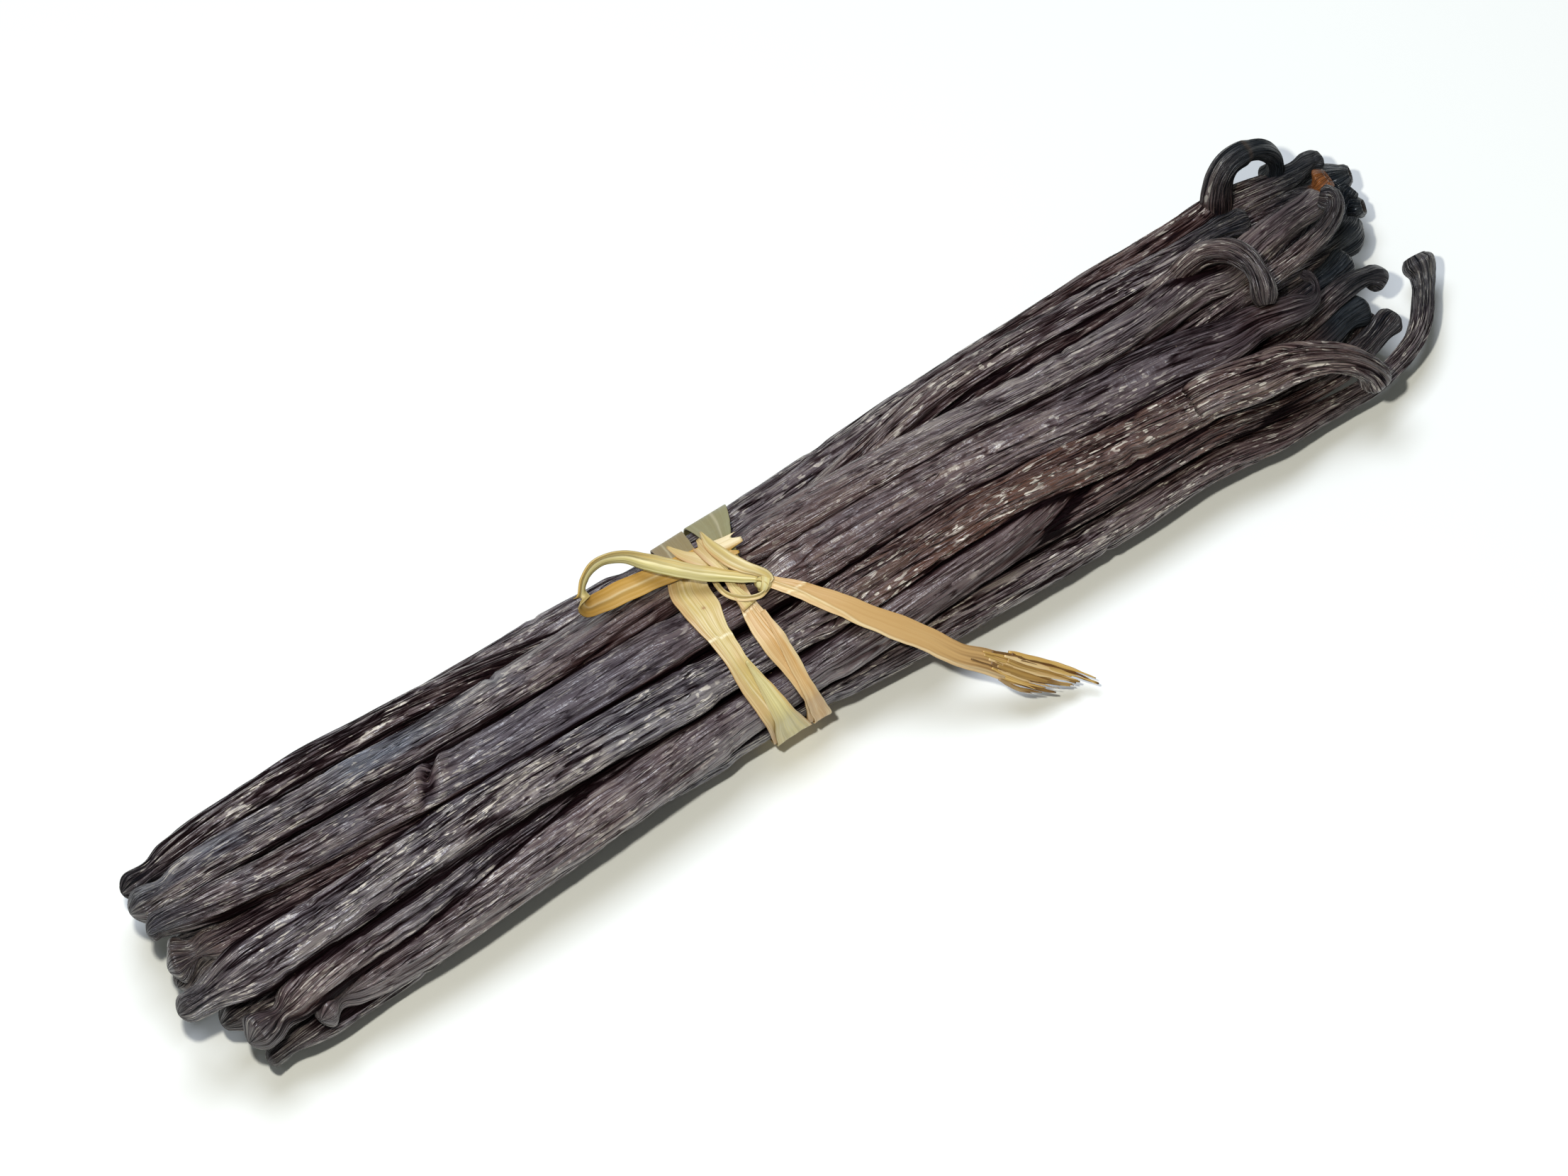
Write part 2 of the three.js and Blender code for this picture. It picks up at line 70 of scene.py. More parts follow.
def makeCamera(view):
    data = bpy.data.cameras.new("tableCamera")
    data.sensor_width = view["sensor"]
    data.lens = view["sensor"] * view["distance"] / view["frameWidth"]
    data.clip_start, data.clip_end = 0.05, 20
    camera = bpy.data.objects.new("tableCamera", data)
    back = backward(view)
    camera.location = Vector(toRow(view["target"])) + back * view["distance"] / 1000
    camera.rotation_euler = back.to_track_quat("Z", "Y").to_euler()
    bpy.context.scene.collection.objects.link(camera)
    bpy.context.scene.camera = camera


makeCamera(cameraView)
print("camera placed")


def smoothstep(x, low, high):
    t = np.clip((np.asarray(x, float) - low) / (high - low), 0, 1)
    return t * t * (3 - 2 * t)


def fades(distance, length, tip, end):
    # 0 at both ends of a line and 1 between: tip and end are each a pair of distances from that end
    return smoothstep(distance, *tip) * (1 - smoothstep(distance, length - end[0], length - end[1]))


def nearEnd(distance, length, far, near):
    # 0 until far from a line's end, 1 once near it
    return smoothstep(distance, length - far, length - near)


def mixed(a, b, t):
    return a + (b - a) * t


def unit(vectors):
    return vectors / np.maximum(np.linalg.norm(vectors, axis=-1, keepdims=True), 1e-12)


def splineWeights(f):
    return ((1 - f) ** 3 / 6, (3 * f**3 - 6 * f**2 + 4) / 6, (-3 * f**3 + 3 * f**2 + 3 * f + 1) / 6, f**3 / 6)


def driftNoise(draw, along, cell):
    # smooth drift along a line, about -1 to 1, with one random value for each cell of length
    at = (along - np.min(along)) / cell
    knots = draw.normal(0, 1.45, int(np.max(at)) + 5)
    i = np.floor(at).astype(int)
    return sum(w * knots[i + k] for k, w in enumerate(splineWeights(at - i)))


def skinNoise(draw, along, turns, cell, cells):
    # smooth noise over a skin that closes on itself: along is a length, turns goes 0 to 1 once round
    at = (along - np.min(along)) / cell
    knots = draw.normal(0, 2.08, (int(np.max(at)) + 5, cells))
    i = np.floor(at).astype(int)
    place = turns * cells
    j = np.floor(place).astype(int)
    total = 0.0
    for k, w in enumerate(splineWeights(at - i)):
        for m, v in enumerate(splineWeights(place - j)):
            total = total + w * v * knots[i + k, (j + m) % cells]
    return total


def layeredNoise(draw, along, turns, layers):
    # layers: how much, then the cell of skinNoise and how many of them go round
    return sum(amount * skinNoise(draw, along, turns, cell, cells) for amount, cell, cells in layers)


def smoothCurve(points, perSpan=60):
    # centripetal curve through the points, as a fine polyline
    p = np.asarray(points, float)
    p = np.vstack([2 * p[0] - p[1], p, 2 * p[-1] - p[-2]])
    line = []
    t = np.linspace(0, 1, perSpan, endpoint=False)[:, None]
    for a, b, c, d in zip(p[:-3], p[1:-2], p[2:-1], p[3:]):
        g, h, k = (max(1e-4, np.sum((q - r) ** 2) ** 0.25) for q, r in ((a, b), (b, c), (c, d)))
        start = ((b - a) / g - (c - a) / (g + h) + (c - b) / h) * h
        end = ((c - b) / h - (d - b) / (h + k) + (d - c) / k) * h
        line.append(b + start * t + (3 * (c - b) - 2 * start - end) * t**2 + (2 * (b - c) + start + end) * t**3)
    return np.vstack([*line, p[-2]])


def lengthsAlong(line):
    return np.concatenate([[0], np.cumsum(np.linalg.norm(np.diff(line, axis=0), axis=1))])


def placesAt(line, distances):
    # points on a polyline and its direction there, at distances from its start
    run = lengthsAlong(line)
    ahead = unit(np.gradient(line, axis=0))
    places = np.stack([np.interp(distances, run, line[:, k]) for k in range(3)], axis=1)
    aheadThere = np.stack([np.interp(distances, run, ahead[:, k]) for k in range(3)], axis=1)
    return places, unit(aheadThere)


def meshFrom(name, points, quads, triangles, values, vectors, material, node, slotName):
    # an object from arrays, with a number or a vector kept at each point for its material
    mesh = bpy.data.meshes.new(name)
    places = toRow(points).astype(np.float32)
    quads, triangles = np.asarray(quads, np.int32).reshape(-1, 4), np.asarray(triangles, np.int32).reshape(-1, 3)
    corners = np.concatenate([quads.ravel(), triangles.ravel()])
    sizes = np.concatenate([np.full(len(quads), 4), np.full(len(triangles), 3)]).astype(np.int32)
    mesh.vertices.add(len(places))
    mesh.vertices.foreach_set("co", places.ravel())
    mesh.loops.add(len(corners))
    mesh.loops.foreach_set("vertex_index", corners)
    mesh.polygons.add(len(sizes))
    mesh.polygons.foreach_set("loop_start", np.concatenate([[0], np.cumsum(sizes)[:-1]]).astype(np.int32))
    mesh.polygons.foreach_set("loop_total", sizes)
    mesh.update(calc_edges=True)
    mesh.validate()
    mesh.polygons.foreach_set("use_smooth", np.ones(len(mesh.polygons), bool))
    for key, numbers in values.items():
        mesh.attributes.new(key, "FLOAT", "POINT").data.foreach_set("value", np.asarray(numbers, np.float32).ravel())
    for key, numbers in vectors.items():
        kept = mesh.attributes.new(key, "FLOAT_VECTOR", "POINT")
        kept.data.foreach_set("vector", np.asarray(numbers, np.float32).ravel())
    mesh.materials.append(material)
    piece = bpy.data.objects.new(name, mesh)
    bpy.context.scene.collection.objects.link(piece)
    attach(piece, "root")
    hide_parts(node)


def tubeFaces(rings, sides):
    # quads over rings of points that each close on themselves, then a fan at either end
    r, k = np.meshgrid(np.arange(rings - 1), np.arange(sides), indexing="ij")
    here, beside = r * sides + k, r * sides + (k + 1) % sides
    quads = np.stack([here, beside, beside + sides, here + sides], axis=-1).reshape(-1, 4)
    k = np.arange(sides)
    first, last, base = rings * sides, rings * sides + 1, (rings - 1) * sides
    start = np.stack([np.full(sides, first), (k + 1) % sides, k], axis=-1)
    end = np.stack([np.full(sides, last), base + k, base + (k + 1) % sides], axis=-1)
    return quads, np.vstack([start, end])


def addNode(tree, kind, settings=None, links=None):
    # links: the new node's input, then the node and the output that feed it
    node = tree.nodes.new(kind)
    for key, value in (settings or {}).items():
        if isinstance(key, int) or key in node.inputs:
            node.inputs[key].default_value = value
        else:
            setattr(node, key, value)
    for key, (source, output) in (links or {}).items():
        tree.links.new(source.outputs[output], node.inputs[key])
    return node


def newMaterial(name):
    material = bpy.data.materials.new(name)
    material.use_nodes = True
    tree = material.node_tree
    tree.nodes.clear()
    return material, tree


def setRamp(node, stops):
    ramp = node.color_ramp
    while len(ramp.elements) > 1:
        ramp.elements.remove(ramp.elements[-1])
    for i, (place, colour) in enumerate(stops):
        element = ramp.elements[0] if i == 0 else ramp.elements.new(place)
        element.position, element.color = place, toLinear(colour)


podLook = {
    # the skin's colours, from the bottom of a furrow to the top of a crest: partly its own colour, partly painted shade
    # in the furrows and painted sheen on the crests
    "tones": [(0.12, "#120508"), (0.34, "#271518"), (0.54, "#42353a"), (0.78, "#6c6063"), (1.0, "#8f8580")],
    # painted reflection: a bluish sheen of the sky laid on the pods' upper flanks
    "paintedSkySheen": "#4e5768",
    "warmBrown": "#59382b",
    # painted highlights: pale dashes on the crests where the oily skin would catch the lamp
    "paintedGlint": "#dad0c3",
    "speck": "#a08c74",
    "tip": "#1a1f25",
    "scar": "#4f3f33",
    "rust": "#8f5426",
    "patterns": {  # mm across the pod, mm along it, detail, roughness, distortion
        "fold": (1.2, 15.0, 2.0, 0.5, 0.8),
        "wrinkle": (0.55, 8.0, 1.5, 0.5, 0.5),
        # the finest wrinkles, drawn a little coarser than they are so that they show
        "thread": (0.3, 6.5, 2.0, 0.5, 0.4),
        "dash": (0.36, 1.4, 1.0, 0.5, 0.3),
        "dashPatch": (1.6, 7.0, 2.0, 0.5, 0.0),
        "pore": (0.5, 0.5, 3.0, 0.6, 0.0),
        "patch": (20.0, 20.0, 4.0, 0.6, 0.0),
    },
    "lineWidths": {"fold": 0.045, "wrinkle": 0.07},  # in the noise's own values
    "shares": {  # the noise value where each begins to show, the one where it is full, and its share there
        "dash": (0.565, 0.605, 0.85),
        "dashPatch": (0.42, 0.6, 1.0),
        "pore": (0.71, 0.75, 0.6),
        "patch": (0.36, 0.56, 0.85),
    },
    "fineHeights": {"wrinkle": 0.75, "thread": 4.8},
    "fineMean": 2.86,  # taken off, so that the fine wrinkles leave the skin as light as it is without them
    "smoothShare": 0.25,  # what is left of them on the smoothest skin
    "foldHeight": 0.5,
    "contactShadeDepth": 2.2,
    "levels": (0.35, 2.2),  # the heights where the tones begin and end
    "paintedGlintLevels": (0.35, 0.75),
    "bumps": {"fold": (1.0, 0.2), "fine": (1.0, 0.16), "pore": (0.6, 0.15)},  # strength, depth in mm
    "byLevel": {  # from and to which level, and the values there
        "Roughness": (0.3, 0.8, 0.6, 0.36),
        "Specular IOR Level": (0.1, 0.5, 0.06, 0.5),
        "Coat Weight": (0.25, 0.7, 0.0, 0.65),
    },
}


def curedPodSkin(look):
    # Cured vanilla pod: a fermented, sun-dried seed case, leathery and oiled by its own vanillin,
    # so nearly black, folded into fine lengthwise wrinkles; the short grey dashes on its oily crests are painted
    # highlights.
    # Its bluish sheen is a painted reflection of the sky, and its furrows and the places where it touches other pods
    # are darkened with painted shade.
    material, tree = newMaterial("curedPodSkin")
    kept, pattern, share = {}, {}, {}
    for name in ("straight", "ridge", "warm", "skySheen", "smooth", "tip", "scar", "rust", "contactShade"):
        attribute = addNode(tree, "ShaderNodeAttribute", {"attribute_name": name})
        kept[name] = (attribute, "Vector" if name == "straight" else "Fac")
    for name, (across, along, detail, roughness, distortion) in look["patterns"].items():
        scale = (1 / along, 1 / across, 1 / across)
        stretched = addNode(tree, "ShaderNodeVectorMath", {"operation": "MULTIPLY", 1: scale}, {0: kept["straight"]})
        noise = addNode(
            tree, "ShaderNodeTexNoise",
            {"Scale": 1.0, "Detail": detail, "Roughness": roughness, "Distortion": distortion},
            {"Vector": (stretched, 0)},
        )
        pattern[name] = (noise, "Fac")
    for name, width in look["lineWidths"].items():
        # low along thin winding lines, level between them, as in folded skin
        off = addNode(tree, "ShaderNodeMath", {"operation": "SUBTRACT", 1: 0.5}, {0: pattern[name]})
        away = addNode(tree, "ShaderNodeMath", {"operation": "ABSOLUTE"}, {0: (off, 0)})
        lines = addNode(
            tree, "ShaderNodeMapRange", {"interpolation_type": "SMOOTHSTEP", "From Max": width}, {"Value": (away, 0)}
        )
        pattern[name] = (lines, 0)
    for name, (low, high, most) in look["shares"].items():
        shown = addNode(
            tree, "ShaderNodeMapRange",
            {"interpolation_type": "SMOOTHSTEP", "From Min": low, "From Max": high, "To Max": most},
            {"Value": pattern[name]},
        )
        share[name] = (shown, 0)
    rough = addNode(
        tree, "ShaderNodeMapRange", {"To Min": 1.0, "To Max": look["smoothShare"]}, {"Value": kept["smooth"]}
    )
    squared = addNode(
        tree, "ShaderNodeMath", {"operation": "MULTIPLY"}, {0: pattern["thread"], 1: pattern["thread"]}
    )
    wrinkled = (squared, 0)
    for name, weight in look["fineHeights"].items():
        added = addNode(
            tree, "ShaderNodeMath", {"operation": "MULTIPLY_ADD", 1: weight}, {0: pattern[name], 2: wrinkled}
        )
        wrinkled = (added, 0)
    centred = addNode(tree, "ShaderNodeMath", {"operation": "SUBTRACT", 1: look["fineMean"]}, {0: wrinkled})
    fine = addNode(tree, "ShaderNodeMath", {"operation": "MULTIPLY"}, {0: (centred, 0), 1: (rough, 0)})
    pattern["fine"] = (fine, 0)
    height = kept["ridge"]
    # the height, less painted shade where the skin touches a neighbouring pod
    for source, weight in (
        (pattern["fine"], 1.0), (pattern["fold"], look["foldHeight"]), (kept["contactShade"], -look["contactShadeDepth"]),
    ):
        added = addNode(tree, "ShaderNodeMath", {"operation": "MULTIPLY_ADD", 1: weight}, {0: source, 2: height})
        height = (added, 0)
    low, high = look["levels"]
    ranged = addNode(tree, "ShaderNodeMapRange", {"From Min": low, "From Max": high}, {"Value": height})
    level = (ranged, 0)
    low, high = look["paintedGlintLevels"]
    crest = addNode(
        tree, "ShaderNodeMapRange", {"interpolation_type": "SMOOTHSTEP", "From Min": low, "From Max": high},
        {"Value": level},
    )
    base = addNode(tree, "ShaderNodeValToRGB", links={"Fac": level})
    setRamp(base, look["tones"])
    surface = (base, "Color")
    for colour, factors in (
        # painted reflection: the bluish sky sheen on the upper flanks
        ("paintedSkySheen", (share["patch"], kept["skySheen"], level)),
        ("warmBrown", (kept["warm"], level)),
        # painted highlights: pale dashes on the crests
        ("paintedGlint", (share["dash"], share["dashPatch"], (crest, 0), (rough, 0))),
        ("speck", (share["pore"],)),
        ("tip", (kept["tip"],)),
        ("scar", (kept["scar"],)),
        ("rust", (kept["rust"],)),
    ):
        # each colour lies over what is under it, by the product of its shares
        cover = factors[0]
        for factor in factors[1:]:
            product = addNode(tree, "ShaderNodeMath", {"operation": "MULTIPLY"}, {0: cover, 1: factor})
            cover = (product, 0)
        tinted = addNode(
            tree, "ShaderNodeMix", {"data_type": "RGBA", 7: toLinear(look[colour])}, {0: cover, 6: surface}
        )
        surface = (tinted, 2)
    normal = {}
    for name, (strength, depth) in look["bumps"].items():
        bump = addNode(
            tree, "ShaderNodeBump", {"Strength": strength, "Distance": depth / 1000},
            {"Height": pattern[name], **normal},
        )
        normal = {"Normal": (bump, 0)}
    sockets = {"Base Color": surface, "Coat Normal": (bump, 0), **normal}
    for name, (low, high, atLow, atHigh) in look["byLevel"].items():
        followed = addNode(
            tree, "ShaderNodeMapRange",
            {"From Min": low, "From Max": high, "To Min": atLow, "To Max": atHigh}, {"Value": level},
        )
        sockets[name] = (followed, 0)
    skin = addNode(
        tree, "ShaderNodeBsdfPrincipled", {"IOR": 1.5, "Coat Roughness": 0.2, "Coat IOR": 1.48}, sockets
    )
    addNode(tree, "ShaderNodeOutputMaterial", links={"Surface": (skin, 0)})
    return material


podSkinMaterial = curedPodSkin(podLook)
print("pod skin mixed")

# The sheaf is an oval bundle, drawn in where it is tied. Its x runs from the blunt tips to the stems.
sheaf = {
    "waistX": 87.0,
    "waistHalf": (14.2, 10.8),  # half the width and half the height at the tie
    "endHalf": (16.6, 12.1),
    "bluntFlare": 67.0,  # over this length it widens to its ends
    "stemFlare": 46.0,
    "axis": (0.5, 11.95),
    "podInset": 2.6,
}
stations = np.array([20.0, 50.0, 87.0, 122.0, 150.0])  # where each pod's place and width are given


def sheafHalf(x):
    away = np.abs(x - sheaf["waistX"])
    reach = np.where(x < sheaf["waistX"], sheaf["bluntFlare"], sheaf["stemFlare"])
    flare = smoothstep(away / reach, 0, 1)
    return [mixed(waist, end, flare) for waist, end in zip(sheaf["waistHalf"], sheaf["endHalf"])]


def alongStations(values, x):
    values = np.asarray(values, float)
    at = np.clip(x, stations[0], stations[-1])
    i = np.clip(np.searchsorted(stations, at, side="right") - 1, 0, len(stations) - 2)
    span = stations[i + 1] - stations[i]
    t = (at - stations[i]) / span
    slope = np.zeros(len(values))
    slope[1:-1] = (values[2:] - values[:-2]) / (stations[2:] - stations[:-2])
    ease = t * t * (3 - 2 * t)
    return mixed(values[i], values[i + 1], ease) + span * t * (1 - t) * ((1 - t) * slope[i] - t * slope[i + 1])


# Each pod: its blunt tip, then at each station its angle round the sheaf in degrees, its reach from the axis and its
# width, then the points that its stem passes. kinks are creases across it: [x, depth, slant in mm for a turn round it,
# width]. leg is the stem's thick foot, where it once joined a stalk.
usual = {
    "reach": [1, 1, 1, 1, 1],
    "wide": [6, 6.2, 6.2, 6, 5.4],
    "stemWidth": 2.9,
    "stemTaper": 20.0,
    "flare": 0.25,  # how far the picked end spreads
    "lumps": 1.0,  # how knobbly its ends are
    "plump": 1.03,
    "kinks": [],
    "furrows": 1.0,  # how deeply it is wrinkled
    "warm": 0.25,  # how brown it is
    # how much painted bluish sky sheen its upper flanks take
    "skySheen": 0.35,
    "smooth": 0.0,
    "contactShading": 1.0,  # how much painted shade it takes where it touches its neighbours
    "rust": 0.0,
    "shade": 0.0,  # how much darker it is, as painted shade on recessed pods and as its own tone on others (below 0 is lighter): one number, or one at each station
    "darkTip": 0.5,
    "darkEnd": 0.7,
    "darkEndLength": 12.0,
}
hiddenStem = {"stemWidth": 3.4, "flare": 0.0, "lumps": 3.4, "darkEnd": 1.0}
podList = [
    {
        "name": "pod_top_edge", "tip": [4.6, 12.9, 13],
        "angle": [-5, 2, 15, 8, 6], "reach": [0.94, 0.985, 1.01, 1.0, 1.02], "wide": [6, 6.4, 6.2, 6, 5.8],
        "stem": [[163, 14.2, 14], [169.9, 14.7, 15.2], [170.6, 15.5, 17.4], [171.7, 16.4, 19.2], [173.4, 17.0, 20.3],
                 [176.0, 17.1, 20.3], [178.4, 16.8, 19.2], [179.8, 16.1, 17.2], [179.8, 15.4, 14.8],
                 [179.0, 15.4, 12.6]],
        "stemLength": 12, "stemWidth": 2.6, "leg": {"width": 3.2, "fromEnd": 10.0}, "plump": 0.98,
        "kinks": [[23.5, 0.4, 2, 0.7], [37.5, 0.5, -2, 0.8], [66, 0.25, 3, 0.6]],
        "furrows": 0.6, "warm": 0.05, "smooth": 0.3, "shade": [0.15, 0.15, 0, 0.1, 0.5], "darkEnd": 1.0,
        "darkEndLength": 24,
    },
    {
        "name": "pod_dark_band", "tip": [3, 11.8, 16],
        "angle": [28, 25, 30, 41, 43], "reach": [1, 0.97, 0.6, 0.98, 1], "wide": [5.8, 5.8, 5.2, 5.4, 5.2],
        "stem": [[160, 10.1, 19.2], [165.5, 10.3, 19.2], [171, 9.8, 18.7]],
        "stemLength": 6, "stemWidth": 3.1,
        "kinks": [[104, 0.25, 3, 0.6], [133, 0.4, -3, 0.7]],
        "furrows": 1.3, "warm": 0.15, "shade": [0.68, 0.68, 0.3, 0.05, 0.1],
    },
    {
        "name": "pod_upper_left", "tip": [2, 7.8, 19],
        "angle": [60, 62, 55, 72, 77], "wide": [5.6, 5.8, 6.4, 5, 4.9],
        "stem": [[159.5, 4.8, 20], [164.0, 4.5, 19], [169.9, 5.9, 18.4], [175.8, 7.0, 17.7], [181.3, 7.6, 16.8]],
        "stemLength": 6, "stemWidth": 3.7, "flare": 0.0,
        "kinks": [[55, 0.4, 1, 0.45], [139, 0.25, -3, 0.6]],
        "furrows": 0.9, "warm": 0.22, "skySheen": 1.0, "smooth": 0.55, "shade": [0, 0, -0.15, -0.38, -0.35],
        "darkEnd": 0.3,
    },
    {
        "name": "pod_crown", "tip": [2.1, 3.8, 20.5],
        "angle": [86, 90, 91, 95, 104], "wide": [5.6, 6.2, 6.4, 6.4, 7],
        "stem": [[158, -4.2, 21.2], [162.5, -4.1, 20.8], [167.9, -5.0, 20.6], [170.4, -5.3, 20.4],
                 [172.0, -4.3, 20.4], [172.5, -2.8, 20.6], [171.8, -1.5, 20.8]],
        "stemLength": 10, "stemWidth": 4.0, "endWidth": 1.3, "stemTaper": 13.0, "flare": 0.1,
        "kinks": [[41.6, 1.5, 11, 0.8], [96, 0.25, 6, 0.5], [124, 0.35, 9, 0.6], [129, 0.3, -5, 0.5]],
        "furrows": 0.7, "warm": 0.15, "skySheen": 1.7, "smooth": 0.7, "shade": [0, 0, -0.12, -0.04, 0.38], "darkEnd": 0.4,
    },
    {
        "name": "pod_upper_right", "tip": [-0.1, -6.7, 19],
        "angle": [121, 117, 122, 119, 130], "wide": [6.8, 6.6, 6.2, 5.6, 5.4],
        "stem": [[151.7, -8.8, 20.3], [158.8, -10.1, 20.3], [162.7, -10.6, 20.2], [166.6, -11.8, 19.6],
                 [170.1, -13.6, 18.4], [172.4, -15.5, 16.4], [173.3, -16.8, 13.8]],
        "stemLength": 9, "stemWidth": 3.8, "endWidth": 3.3, "stemTaper": 12.0,
        "kinks": [[68, 0.5, -13, 0.9], [139, 0.4, -4, 0.7], [110, 0.2, 4, 0.6]],
        "furrows": 1.4, "warm": 0.5, "shade": [0, 0, -0.3, -0.52, -0.25], "darkEnd": 0.35, "darkEndLength": 7,
    },
    {
        "name": "pod_sunk_right", "tip": [5.5, -13.6, 16],
        "angle": [148, 143, 151, 124, 112], "reach": [0.96, 0.86, 0.6, 0.5, 0.5], "wide": [5.4, 5, 5, 4.8, 4.4],
        "stem": [[163.6, -5.6, 15.5], [170.4, -5.4, 15], [175.0, -4.4, 15], [178.7, -3.8, 14.6], [181.4, -4.0, 13.6],
                 [182.3, -4.6, 12.4]],
        "stemLength": 14, "stemWidth": 3.1, "flare": 0.35, "lumps": 1.8,
        "warm": 0.3, "shade": 0.15, "darkEnd": 0.8,
    },
    {
        "name": "pod_right_side", "tip": [14.6, -15.3, 14.2],
        "angle": [172, 166, 159, 142, 138], "reach": [1, 1, 1, 0.98, 0.5], "wide": [6, 6.8, 6.4, 5.6, 4.6],
        "stem": [[163.9, -8.1, 13.2], [170.7, -7.6, 13], [174.8, -6.6, 12.4], [178.5, -6.2, 11.6]],
        "stemLength": 9, "stemWidth": 4.0, "lumps": 1.6,
        "kinks": [[62, 0.2, 4, 0.6], [77, 0.2, -4, 0.6]],
        "furrows": 0.6, "warm": 0.4, "skySheen": 0.2, "smooth": 0.7, "shade": [-0.1, -0.1, 0, 0.1, 0.4], "darkTip": 0.25,
        "darkEnd": 1.0,
    },
    {
        "name": "pod_lower_edge", "tip": [7.2, -14.3, 9],
        "angle": [199, 197, 198, 190, 191], "reach": [1.035, 0.91, 1.02, 1, 0.985], "wide": [5.6, 6, 6, 5.6, 5.2],
        "stem": [[160.3, -14.4, 9], [165.4, -14.4, 8.4], [171, -14.5, 7.8], [175.1, -14.5, 7.8], [182.0, -12.7, 7.6],
                 [185.4, -10.4, 7.2], [188.2, -7.1, 7.2], [189.4, -4.9, 7.6], [189.6, -2.8, 8.2]],
        "stemLength": 28, "flare": 0.7,
        "kinks": [[133, 0.3, 4, 0.5], [30, 0.25, -4, 0.6]],
        "warm": 0.35,
    },
    {
        "name": "pod_low_knob", "tip": [4.6, -8.1, 12],
        "angle": [163, 170, 209, 158, 153], "reach": [0.64, 0.55, 0.6, 0.82, 0.93], "wide": [5, 5, 5, 4.6, 4.4],
        "stem": [[161.6, -11.3, 12], [168.6, -11.4, 11], [173.7, -11.1, 10.6], [177.7, -10.2, 10.6],
                 [181.4, -9.0, 10.8]],
        "stemLength": 9, "stemWidth": 3.2, "flare": 0.2, "lumps": 1.6,
        "warm": 0.4, "shade": 0.3,
    },
    {
        "name": "pod_hooked_inside", "tip": [5.4, 3, 16.4],
        "angle": [97, 100, 122, 80, 88], "reach": [0.78, 0.62, 0.34, 0.5, 0.6], "wide": [4.6, 5, 5, 4.6, 4.2],
        "stem": [[164.4, 1.7, 17], [169.4, 1.7, 18], [174.4, 1.9, 19], [178.5, 2.7, 19.4], [181.2, 4.3, 19.5],
                 [181.7, 5.7, 19.5], [180.7, 6.8, 19.5]],
        "stemLength": 18,
        "warm": 0.3,
    },
    {
        "name": "pod_raised_hook", "tip": [2.6, -1.4, 13],
        "angle": [70, 66, 58, 58, 62], "reach": [0.5, 0.5, 0.34, 0.78, 0.87], "wide": [4.8, 5, 5, 4.8, 4.6],
        "stem": [[158.4, 7.3, 20], [160.6, 7.2, 22.1], [162.9, 6.5, 23.8], [164.9, 4.6, 24.8], [165.8, 1.9, 25.2],
                 [165.6, -1.0, 24.6], [164.6, -3.4, 23.4]],
        "stemLength": 17, "endWidth": 2.5,
        "warm": 0.35, "darkEnd": 0.45,
    },
    {
        "name": "pod_far_side", "tip": [8.5, 13.5, 7],
        "angle": [332, 328, 346, 338, 338], "wide": [6, 6.2, 5.8, 6, 5.6],
        "stem": [[162.6, 14.1, 12], [167.8, 15.2, 12.8], [173.7, 14.9, 13.2], [178.5, 14.1, 13.4],
                 [183.1, 13.8, 13.2], [186.2, 13.8, 13.2]],
        "stemLength": 7, "stemWidth": 3.3, "flare": 0.0, "lumps": 3.2,
        "warm": 0.15, "darkEnd": 0.9,
    },
    {
        "name": "pod_under_far", "tip": [10.5, 8, 5],
        "angle": [305, 300, 315, 308, 310],
        "stem": [[163.5, 10.2, 5], [179.1, 13.5, 7], [184.7, 12.8, 9.2], [188.9, 11.0, 11]],
        **hiddenStem, "stemLength": 14,
        "shade": 0.3,
    },
    {
        "name": "pod_under_middle", "tip": [8, 2, 5.5],
        "angle": [280, 275, 287, 280, 283], "reach": [1.06, 1.05, 1, 1.07, 1.09],
        "stem": [[163.5, 4, 4], [178.7, 10.0, 5.5], [184.3, 8.6, 7.4], [188.1, 6.6, 9.4]],
        **hiddenStem, "stemLength": 15,
        "shade": 0.3,
    },
    {
        "name": "pod_under_near", "tip": [10.5, -5.5, 5],
        "angle": [254, 250, 260, 251, 256], "reach": [1.09, 1.06, 1, 1.1, 1.1],
        "stem": [[163.5, -4, 4.2], [177.1, 4.6, 5.5], [182.3, 7.4, 8.4], [187.9, 8.8, 10.6]],
        **hiddenStem, "stemLength": 15,
        "shade": 0.3,
    },
    {
        "name": "pod_low_side", "tip": [8.5, -11, 6.5],
        "angle": [226, 223, 231, 220, 226],
        "stem": [[162, -10.4, 5], [170, -9.6, 5.6], [176, -8.4, 7.4], [180, -7, 9]],
        "stemLength": 14,
    },
    {
        "name": "pod_inner_right", "tip": [2.5, 0.3, 15.4],
        "angle": [106, 118, 238, 210, 160], "reach": [0.84, 0.66, 0.34, 0.4, 0.35], "wide": [4.6, 5, 5, 4.6, 4.2],
        "stem": [[168.0, -1.2, 12.6], [173.0, -0.9, 12.8], [177.1, -0.3, 12.2], [180.7, 0.8, 11.4]],
        **hiddenStem, "stemLength": 13,
        "warm": 0.4, "contactShading": 0.25, "shade": [-0.35, -0.2, 0.3, 0.3, 0.3],
    },
    {
        "name": "pod_inner_far", "tip": [5.4, 10.5, 12],
        "angle": [15, 10, 331, 350, 10], "reach": [0.6, 0.55, 0.6, 0.5, 0.5], "wide": [4.8, 5, 5, 4.8, 4.4],
        "stem": [[170.0, 11.2, 12.6], [175.6, 11.3, 12.6], [179.9, 10.7, 13.2], [182.7, 10.1, 14.6],
                 [184.4, 10.0, 15.6]],
        "stemLength": 13, "stemWidth": 3.0, "flare": 0.0, "lumps": 3.0,
        "rust": 1.0, "shade": 0.2,
    },
    {
